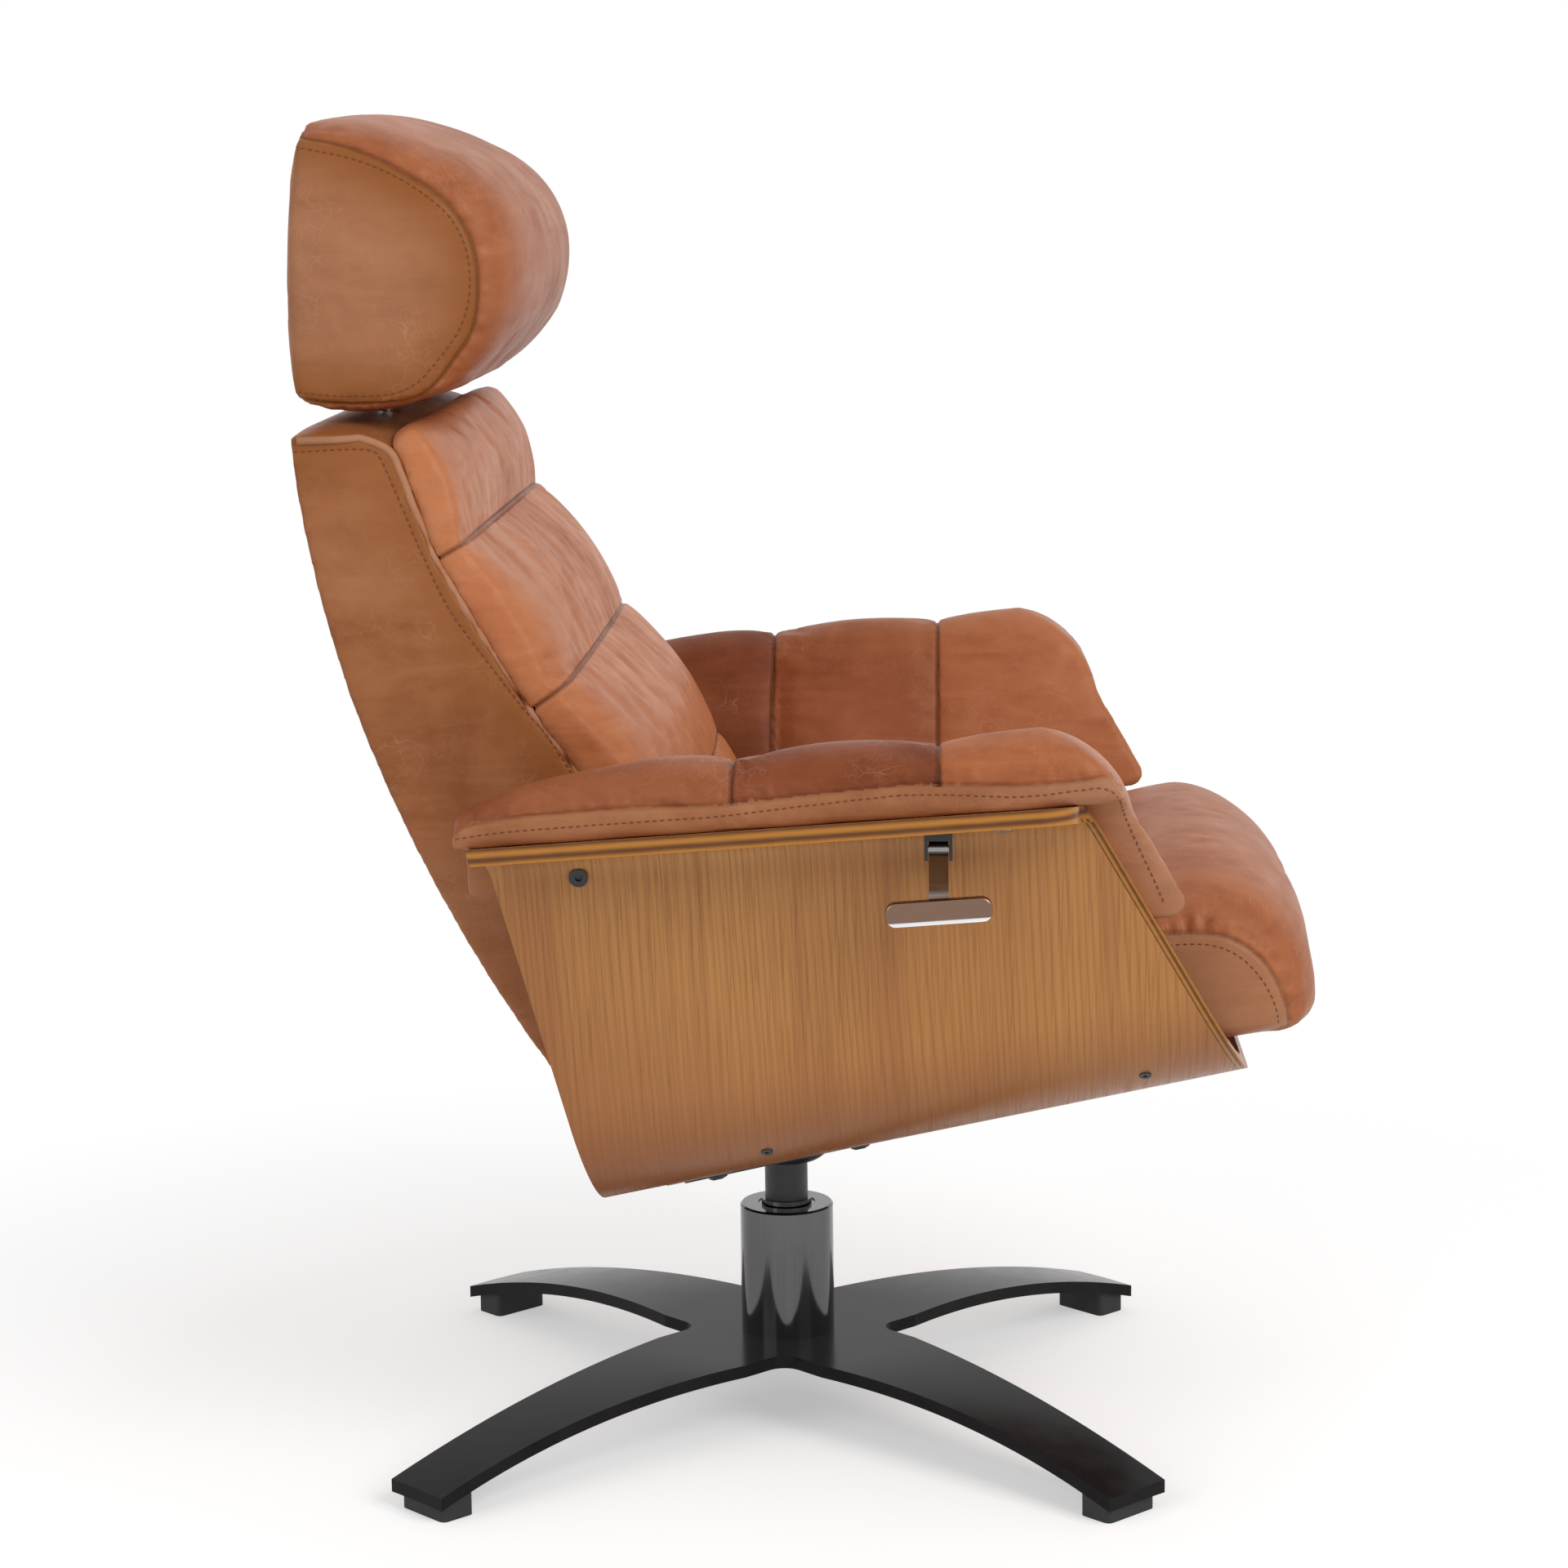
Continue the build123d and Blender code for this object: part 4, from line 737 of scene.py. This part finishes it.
def layStitches(name, laid, body):
    look = stitchLook
    path = drawCurve(name + "Path", laid[::2])
    deselectAll()
    turn = (0, math.pi / 2, 0)
    bpy.ops.mesh.primitive_uv_sphere_add(segments=6, ring_count=4, radius=0.5, rotation=turn)
    piece = bpy.context.object
    piece.name = name
    piece.scale = (look["thick"], look["thick"], look["length"])
    bpy.ops.object.transform_apply(location=True, rotation=True, scale=True)
    array = piece.modifiers.new("Array", "ARRAY")
    array.fit_type = "FIT_CURVE"
    array.curve = path
    array.use_relative_offset = False
    array.use_constant_offset = True
    array.constant_offset_displace = (look["pitch"], 0, 0)
    follow = piece.modifiers.new("Curve", "CURVE")
    follow.object = path
    follow.deform_axis = "POS_X"
    for modifier in ("Array", "Curve"):
        bpy.ops.object.modifier_apply(modifier=modifier)
    bpy.ops.object.shade_smooth()
    bpy.data.objects.remove(path)
    piece.data.materials.clear()
    piece.data.materials.append(thread)
    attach(piece, body)


def stitchSides(piece, name, points, body):
    for side, end in ((1, "Left"), (-1, "Right")):
        layStitches(name + end, layFromSide(piece, points, side, layLook["stitchLift"]), body)


# headrest: a wrap-around front cushion between two D-shaped side panels
headLook = {
    "coverSkin": 0.0033,
    "panelFrom": 0.19,
    "panelRear": [(-0.36, 0.84), (-0.36, 1.034)],
    "boardZone": ((-0.33, -0.225), 0.1, 0.96),
    "heldReach": 0.004,
    "cuts": (0.012, 0.006),
    "seed": 3.0,
    "fill": 0.9,
    "rub": 0.55,
    "deepToneAndShade": 0.40,
    "burnReach": 0.033,
    "voxel": 0.005,
    "smooth": 6,
    "seam": [(-0.3358, 1.0335), (-0.3151, 1.0301), (-0.2963, 1.0244), (-0.2757, 1.0154), (-0.2570, 1.0046),
             (-0.2412, 0.9952), (-0.2277, 0.9847), (-0.2184, 0.9727), (-0.2116, 0.9607), (-0.2076, 0.9471),
             (-0.2060, 0.9353), (-0.2061, 0.9176), (-0.2084, 0.8999), (-0.2138, 0.8851), (-0.2231, 0.8722),
             (-0.2338, 0.8577), (-0.2460, 0.8460), (-0.2634, 0.8395), (-0.2905, 0.8375), (-0.3206, 0.8385),
             (-0.3420, 0.8420)],
    "stitch": [(-0.3357, 1.0250), (-0.2962, 1.0164), (-0.2668, 1.0044), (-0.2462, 0.9918), (-0.2310, 0.9793),
               (-0.2213, 0.9667), (-0.2150, 0.9519), (-0.2125, 0.9354), (-0.2128, 0.9207), (-0.2149, 0.9077),
               (-0.2210, 0.8922), (-0.2305, 0.8785), (-0.2411, 0.8658), (-0.2517, 0.8548), (-0.2647, 0.8480),
               (-0.2781, 0.8452), (-0.3121, 0.8450), (-0.3430, 0.8480)],
    "slack": 0.004,
    "cap": 0.004,
    "sewn": {"crease": 0.0022, "creaseDepth": 0.0020, "valley": 0.010, "valleyDepth": 0.0012,
             "gather": 0.0020, "gatherStep": 0.008, "dark": 0.55},
}


def insideOutline(points, x, z):
    # whether side-view places lie inside a closed outline
    inside = np.zeros(len(x), bool)
    for (x0, z0), (x1, z1) in zip(points, points[1:] + points[:1]):
        crossing = (z0 > z) != (z1 > z)
        with np.errstate(divide="ignore", invalid="ignore"):
            at = x0 + (z - z0) * (x1 - x0) / (z1 - z0)
        inside ^= crossing & (x < at)
    return inside


def headPanel(piece):
    spots = places(piece)
    panel = insideOutline(headLook["seam"] + headLook["panelRear"], spots[:, 0], spots[:, 2])
    return panel & (np.abs(spots[:, 1]) > headLook["panelFrom"])


def makeHeadrest():
    look = headLook
    piece = copyForm("headrest_foam", "headrestCushion")
    remesh(piece, look["voxel"], look["smooth"])
    applyModifier(piece, "DISPLACE", strength=look["coverSkin"], mid_level=0.0)
    held = np.zeros(len(piece.data.vertices), bool)
    for side in (1, -1):
        gap, along = lineField(piece, layFromSide(piece, look["seam"], side))
        held |= gap < look["heldReach"]
    # the part over the board and its clamps is held too
    spots = places(piece)
    (rear, front), half, top = look["boardZone"]
    inside = (np.abs(spots[:, 1]) < half) & (spots[:, 2] < top)
    held |= inside & (spots[:, 0] > rear) & (spots[:, 0] < front)
    puff(piece, held, look["slack"], look["cap"])
    for side in (1, -1):
        sewLine(piece, look["seam"], side, look["cuts"], look["sewn"], look["seed"] + side, headPanel)
    panel = headPanel(piece)
    setAttribute(piece, "panel", panel.astype(float))
    edges = [layFromSide(piece, look["seam"], side) for side in (1, -1)]
    gap = np.minimum(*[lineField(piece, edge)[0] for edge in edges])
    burn = np.exp(-(gap / look["burnReach"]) ** 2) * panel
    setAttribute(piece, "burn", burn)
    setAttribute(piece, "rub", look["rub"] * panel * (1 - burn))
    setAttribute(piece, "deepToneAndShade", look["deepToneAndShade"] * ~panel)
    finishCushion(piece, "headrest", ("headrest_cover", "headrest_foam"))
    stitchSides(piece, "headrestStitches", look["stitch"], "headrest")


makeHeadrest()


# back: a firm leather casing behind and beside a channelled front cushion
casingLook = {
    "cuts": (0.006,),
    "seed": 7.0,
    "fill": 0.95,
    "burn": 0.8,
    "burnReach": 0.026,
    "crownSpan": (-0.346, -0.272),
    "crownFrom": (0.800, 0.808),
    "crownHalf": 0.258,
    "crownRise": 0.013,
    "voxel": 0.0044,
    "smooth": 5,
    "pipe": [(-0.3385, 0.8138), (-0.3300, 0.8140), (-0.3088, 0.8145), (-0.2805, 0.8150), (-0.2700, 0.8110),
             (-0.2596, 0.7945), (-0.2463, 0.7599), (-0.2353, 0.7330), (-0.2177, 0.6957), (-0.2010, 0.6698),
             (-0.1673, 0.6233), (-0.1451, 0.5923), (-0.1252, 0.5600), (-0.1130, 0.5360)],
    "stitch": [(-0.3400, 0.8060), (-0.3083, 0.8075), (-0.2842, 0.8065), (-0.2765, 0.7982), (-0.2621, 0.7656),
               (-0.2487, 0.7339), (-0.2295, 0.6931), (-0.2089, 0.6631), (-0.1800, 0.6239), (-0.1573, 0.5937),
               (-0.1375, 0.5609), (-0.1090, 0.5060)],
    "pipeRadius": 0.0030,
    "pipeLift": 0.0006,
    "pipeDepth": 0.254,
    "pipeEven": 12,
    "sewn": {"crease": 0.0022, "creaseDepth": 0.0008, "valley": 0.010, "valleyDepth": 0.0010,
             "gather": 0.0007, "gatherStep": 0.016, "dark": 0.0},
}


def makeCasing():
    look = casingLook
    piece = copyForm("back_casing", "backCasing")
    remesh(piece, look["voxel"], look["smooth"])
    # the top is a soft roll between the two sides
    spots, normals = places(piece), directions(piece)
    share = ramp(spots[:, 0], *look["crownSpan"])
    dome = np.sqrt(share) * (1 - 0.35 * share) * np.clip(1 - (spots[:, 1] / look["crownHalf"]) ** 10, 0, 1)
    dome *= ramp(spots[:, 2], *look["crownFrom"]) * (normals[:, 2] > 0.1)
    spots[:, 2] += look["crownRise"] * dome
    setPlaces(piece, spots)
    for side in (1, -1):
        sewLine(piece, look["stitch"], side, look["cuts"], look["sewn"], look["seed"] + side)
    setAttribute(piece, "panel", np.ones(len(piece.data.vertices)))
    setAttribute(piece, "seam", np.zeros(len(piece.data.vertices)))
    edges = [layFromSide(piece, look["pipe"], side, 0.0, look["pipeDepth"]) for side in (1, -1)]
    gap = np.minimum(*[lineField(piece, edge)[0] for edge in edges])
    setAttribute(piece, "burn", look["burn"] * np.exp(-(gap / look["burnReach"]) ** 2))
    finishCushion(piece, "back", ("back_casing",))
    for side, name in ((1, "Left"), (-1, "Right")):
        laid = layFromSide(piece, look["pipe"], side, look["pipeLift"], look["pipeDepth"])
        for again in range(look["pipeEven"]):
            middle = [(a + b * 2 + c) / 4 for a, b, c in zip(laid, laid[1:], laid[2:])]
            laid = [laid[0]] + middle + [laid[-1]]
        layPiping("backPiping" + name, laid, look["pipeRadius"], "back")
    stitchSides(piece, "backStitches", look["stitch"], "back")


makeCasing()


backLook = {
    "coverSkin": 0.0033,
    "heldReach": 0.003,
    "cuts": (0.012, 0.006),
    "seed": 11.0,
    "edgeSeed": 17.0,
    "fill": 0.85,
    "half": 0.272,
    "crownSpan": (-0.228, -0.268),
    "crownFrom": (0.785, 0.810),
    "crownHalf": 0.266,
    "crownRise": 0.008,
    "crownLap": 0.006,
    "voxel": 0.005,
    "smooth": 5,
    "knots": [(-0.247, 0.823), (-0.215, 0.741), (-0.139, 0.640), (-0.058, 0.527), (-0.012, 0.388)],
    "slack": 0.004,
    "cap": 0.004,
    "sewn": {"crease": 0.0018, "creaseDepth": 0.0022, "valley": 0.010, "valleyDepth": 0.0006,
             "gather": 0.0006, "gatherStep": 0.014, "dark": 0.9},
    "edge": {"crease": 0.003, "creaseDepth": 0.0, "valley": 0.016, "valleyDepth": 0.0,
             "gather": 0.0014, "gatherStep": 0.009, "dark": 0.0},
}


def channelPlanes():
    look = backLook
    planes = []
    for before, knot, after in zip(look["knots"], look["knots"][1:], look["knots"][2:]):
        run = Vector((after[0] - before[0], 0, after[1] - before[1])).normalized()
        planes.append(((knot[0], 0, knot[1]), tuple(run)))
    return planes


def makeBackCushion():
    look = backLook
    piece = copyForm("back_foam", "backCushion")
    remesh(piece, look["voxel"], look["smooth"])
    applyModifier(piece, "DISPLACE", strength=look["coverSkin"], mid_level=0.0)
    # its top closes up to the casing's roll
    spots = places(piece)
    share = ramp(spots[:, 0], *look["crownSpan"]) * ramp(spots[:, 2], *look["crownFrom"])
    share *= np.clip(1 - (spots[:, 1] / look["crownHalf"]) ** 10, 0, 1)
    spots[:, 2] += look["crownRise"] * share
    spots[:, 0] -= look["crownLap"] * share
    setPlaces(piece, spots)
    normals = directions(piece)
    held = normals[:, 0] * 0.8 + normals[:, 2] * 0.6 < -0.2
    for spot, normal in channelPlanes():
        held |= planeField(piece, spot, normal) < look["heldReach"]
    puff(piece, held, look["slack"], look["cap"])
    for number, (spot, normal) in enumerate(channelPlanes()):
        for cut in look["cuts"]:
            refine(piece, planeField(piece, spot, normal) < cut)
        gap = planeField(piece, spot, normal)
        sew(piece, gap, places(piece)[:, 1], look["sewn"], look["seed"] + number)
    spots, normals = places(piece), directions(piece)
    near = (normals[:, 0] > 0.1) | (normals[:, 2] > 0.3)
    gap = np.where(near, look["half"] - np.abs(spots[:, 1]), 1.0)
    sew(piece, np.clip(gap, 0, 1), spots[:, 2] * 1.3, look["edge"], look["edgeSeed"])
    finishCushion(piece, "back", ("back_cover", "back_foam"))


makeBackCushion()


# arm pads: three panels over the rim with a stitched gusset along the outside
armLook = {
    "heldReach": 0.003,
    "heldBelow": 0.55,
    "cuts": (0.012, 0.006),
    "seed": 19.0,
    "edgeCuts": (0.014, 0.006),
    "edgeSeed": 23.0,
    "fill": 0.85,
    "cornerFrom": (0.195, 0.245),
    "cornerSide": (0.30, 0.34),
    "bandSide": 0.37,
    "rub": (0.25, 0.5),
    "rubFront": (0.14, 0.22),
    # deep tone for each top panel, rear to front: painted shade, darkest at the rear where the back shades
    # the far arm
    "deepToneAndShade": {1: (0.90, 0.55, 0.20), -1: (0.75, 1.0, 0.25)},
    "cornerSmooth": 40,
    "voxel": 0.005,
    "smooth": 5,
    "seams": (-0.019, 0.126),
    "gusset": [(-0.2167, 0.5446), (-0.2031, 0.5539), (-0.1558, 0.5594), (-0.0879, 0.5643), (-0.0294, 0.5656),
               (0.0468, 0.5738), (0.1142, 0.5798), (0.1808, 0.5782), (0.2252, 0.5814), (0.2433, 0.5841),
               (0.2560, 0.5800), (0.2620, 0.5720)],
    "lap": [(0.290, 0.552), (0.330, 0.450), (0.240, 0.440), (-0.225, 0.450)],
    "stitch": [(-0.2124, 0.5431), (-0.1785, 0.5479), (-0.0881, 0.5544), (-0.0295, 0.5581), (0.0468, 0.5669),
               (0.1142, 0.5728), (0.1808, 0.5707), (0.2252, 0.5750), (0.2400, 0.5762), (0.2515, 0.5690),
               (0.2600, 0.5441), (0.2715, 0.5168), (0.2820, 0.4940), (0.2895, 0.4760)],
    "slack": 0.004,
    "cap": 0.003,
    "sewn": {"crease": 0.0016, "creaseDepth": 0.0026, "valley": 0.007, "valleyDepth": 0.0006,
             "gather": 0.0003, "gatherStep": 0.014, "dark": 1.0},
    "edge": {"crease": 0.0020, "creaseDepth": 0.0014, "valley": 0.011, "valleyDepth": 0.0008,
             "gather": 0.0022, "gatherStep": 0.007, "dark": 0.35},
}


def gussetBand(piece, side):
    spots, normals = places(piece), directions(piece)
    band = insideOutline(armLook["gusset"] + armLook["lap"], spots[:, 0], spots[:, 2])
    return band & ((spots[:, 1] * side > armLook["bandSide"]) | (normals[:, 1] * side > 0.1))


def makeArm(side, name):
    look = armLook
    piece = keepOutside(copyForm("arm_cover_left", "armPad" + name.title(), side < 0))
    remesh(piece, look["voxel"], look["smooth"])
    spots = places(piece)
    corner = piece.vertex_groups.new(name="corner")
    weight = ramp(spots[:, 0], *look["cornerFrom"]) * ramp(spots[:, 1] * side, *look["cornerSide"])
    for i in np.flatnonzero(weight > 0):
        corner.add([int(i)], float(weight[i]), "REPLACE")
    applyModifier(piece, "SMOOTH", factor=0.5, iterations=look["cornerSmooth"], vertex_group="corner")
    piece.vertex_groups.clear()
    spots, normals = places(piece), directions(piece)
    held = (normals[:, 2] < -0.3) | ((normals[:, 1] * side > 0.5) & (spots[:, 2] < look["heldBelow"]))
    for x in look["seams"]:
        held |= planeField(piece, (x, 0, 0), (1, 0, 0)) < look["heldReach"]
    puff(piece, held, look["slack"], look["cap"])
    for number, x in enumerate(look["seams"]):
        for cut in look["cuts"]:
            refine(piece, planeField(piece, (x, 0, 0), (1, 0, 0)) < cut)
        spots = places(piece)
        gap = np.where(gussetBand(piece, side), 1.0, planeField(piece, (x, 0, 0), (1, 0, 0)))
        sew(piece, gap, spots[:, 1] + spots[:, 2], look["sewn"], look["seed"] + number)
    sewLine(piece, look["gusset"], side, look["edgeCuts"], look["edge"], look["edgeSeed"] + side,
            lambda pad: gussetBand(pad, side))
    band = gussetBand(piece, side)
    setAttribute(piece, "panel", band.astype(float))
    spots = places(piece)
    rear, front = look["rub"]
    setAttribute(piece, "rub", (rear + front * ramp(spots[:, 0], *look["rubFront"])) * band)
    # each top panel takes its deep tone: painted shade, lightest at the front
    panel = np.searchsorted(look["seams"], spots[:, 0])
    setAttribute(piece, "deepToneAndShade", np.array(look["deepToneAndShade"][side])[panel] * ~band)
    finishCushion(piece, "chassis", ("arm_cover_" + name, "arm_foam_" + name))
    laid = layFromSide(piece, look["stitch"], side, layLook["stitchLift"])
    layStitches("armStitches" + name.title(), laid, "chassis")


makeArm(1, "left")
makeArm(-1, "right")


# seat: one cushion with a full front roll and D-shaped ends
seatLook = {
    "coverSkin": 0.0033,
    "panelFrom": 0.235,
    "panelRear": [(0.38, 0.33), (0.20, 0.33), (0.20, 0.43)],
    "heldRear": 0.02,
    "cuts": (0.014, 0.007),
    "seed": 31.0,
    "fill": 0.85,
    "rub": 0.50,
    "deepToneAndShade": 0.40,
    "voxel": 0.0055,
    "smooth": 6,
    "seam": [(0.2860, 0.4420), (0.2971, 0.4442), (0.3151, 0.4450), (0.3343, 0.4430), (0.3518, 0.4350),
             (0.3669, 0.4216), (0.3775, 0.4046), (0.3840, 0.3883), (0.3862, 0.3750)],
    "stitch": [(0.2862, 0.4340), (0.3012, 0.4360), (0.3192, 0.4365), (0.3342, 0.4337), (0.3483, 0.4264),
               (0.3602, 0.4147), (0.3693, 0.4011), (0.3750, 0.3863), (0.3772, 0.3740)],
    "slack": 0.005,
    "cap": 0.005,
    "sewn": {"crease": 0.0022, "creaseDepth": 0.0018, "valley": 0.015, "valleyDepth": 0.0012,
             "gather": 0.0042, "gatherStep": 0.009, "dark": 0.5},
}


def seatPanel(piece):
    spots = places(piece)
    panel = insideOutline(seatLook["seam"] + seatLook["panelRear"], spots[:, 0], spots[:, 2])
    return panel & (np.abs(spots[:, 1]) > seatLook["panelFrom"])


def makeSeat():
    look = seatLook
    piece = copyForm("seat_foam", "seatCushion")
    remesh(piece, look["voxel"], look["smooth"])
    applyModifier(piece, "DISPLACE", strength=look["coverSkin"], mid_level=0.0)
    spots, normals = places(piece), directions(piece)
    held = (normals[:, 2] < -0.4) | (spots[:, 0] < look["heldRear"]) | (np.abs(normals[:, 1]) > 0.8)
    puff(piece, held, look["slack"], look["cap"])
    for side in (1, -1):
        sewLine(piece, look["seam"], side, look["cuts"], look["sewn"], look["seed"] + side, seatPanel)
    panel = seatPanel(piece)
    setAttribute(piece, "panel", panel.astype(float))
    setAttribute(piece, "rub", look["rub"] * panel)
    setAttribute(piece, "deepToneAndShade", look["deepToneAndShade"] * ~panel)
    finishCushion(piece, "seat", ("seat_cover", "seat_foam"))
    stitchSides(piece, "seatStitches", look["stitch"], "seat")


makeSeat()


# floor, light and camera
studioLook = {
    "cameraPlace": (0.1264, -3.0246, 1.0192),
    "cameraTarget": (0.0023, 0.0, 0.516),
    "cameraRoll": -0.75,
    "lens": 87.7,
    "keyLight": ((2.4, -2.4, 2.6), 2.2, 74.0),
    "fillLight": ((-2.6, -2.6, 2.2), 2.4, 34.0),
    "topLight": ((0.2, 0.8, 3.4), 2.2, 12.0),
    "worldStrength": 0.38,
    "floorSize": 14.0,
    "floorTone": (0.86, 0.86, 0.86, 1),
    "floorFade": (0.55, 1.15),
    "floorLift": 0.42,
}


def seenDirectly(tree):
    # rays that show the background: from the camera, a reflection or glass
    path = addNode(tree, "LightPath")
    shown = calc(tree, "MAXIMUM", path.outputs["Is Camera Ray"], path.outputs["Is Glossy Ray"])
    return calc(tree, "MAXIMUM", shown, path.outputs["Is Transmission Ray"])


def makeStudio():
    look = studioLook
    deselectAll()
    bpy.ops.mesh.primitive_plane_add(size=look["floorSize"], location=(0, 0, 0))
    floor = bpy.context.object
    floor.name = "studioFloor"
    finish, tree, shader = newFinish("paleFloor")
    tree.nodes.remove(shader)
    shadowed = addNode(tree, "BsdfDiffuse", {"Color": look["floorTone"]})
    seen = seenDirectly(tree)
    reach = addNode(tree, "VectorMath", {0: objectPlace(tree)}, operation="LENGTH").outputs["Value"]
    away = calc(tree, "MULTIPLY", spread(tree, reach, *look["floorFade"]), seen)
    raised = calc(tree, "MULTIPLY", seen, look["floorLift"])
    lift = addNode(tree, "Emission", {"Color": (1, 1, 1, 1), "Strength": raised})
    near = addNode(tree, "AddShader", {0: shadowed.outputs[0], 1: lift.outputs[0]})
    white = addNode(tree, "Emission", {"Color": (1, 1, 1, 1), "Strength": 1.0})
    both = addNode(tree, "MixShader", {0: away, 1: near.outputs[0], 2: white.outputs[0]})
    tree.links.new(both.outputs[0], tree.nodes["Material Output"].inputs["Surface"])
    floor.data.materials.append(finish)
    for name in ("keyLight", "fillLight", "topLight"):
        place, size, power = look[name]
        bpy.ops.object.light_add(type="AREA", location=place)
        lamp = bpy.context.object
        lamp.name = name
        lamp.data.size = size
        lamp.data.energy = power
        lamp.rotation_mode = "QUATERNION"
        lamp.rotation_quaternion = (Vector((0, 0, 0.5)) - lamp.location).to_track_quat("-Z", "Y")
    world = bpy.data.worlds.new("studio")
    scene.world = world
    world.use_nodes = True
    tree = world.node_tree
    strength = spread(tree, seenDirectly(tree), 0.0, 1.0, look["worldStrength"], 1.0)
    sky = tree.nodes["Background"]
    sky.inputs["Color"].default_value = (1, 1, 1, 1)
    tree.links.new(strength, sky.inputs["Strength"])
    deselectAll()
    bpy.ops.object.camera_add(location=look["cameraPlace"])
    camera = bpy.context.object
    camera.name = "photoCamera"
    aim = (Vector(look["cameraTarget"]) - camera.location).to_track_quat("-Z", "Y")
    camera.rotation_mode = "QUATERNION"
    camera.rotation_quaternion = aim @ Quaternion((0, 0, 1), math.radians(look["cameraRoll"]))
    camera.data.lens = look["lens"]
    camera.data.sensor_width = 36.0
    scene.camera = camera
    scene.view_settings.view_transform = "Standard"


makeStudio()
print("studio set")
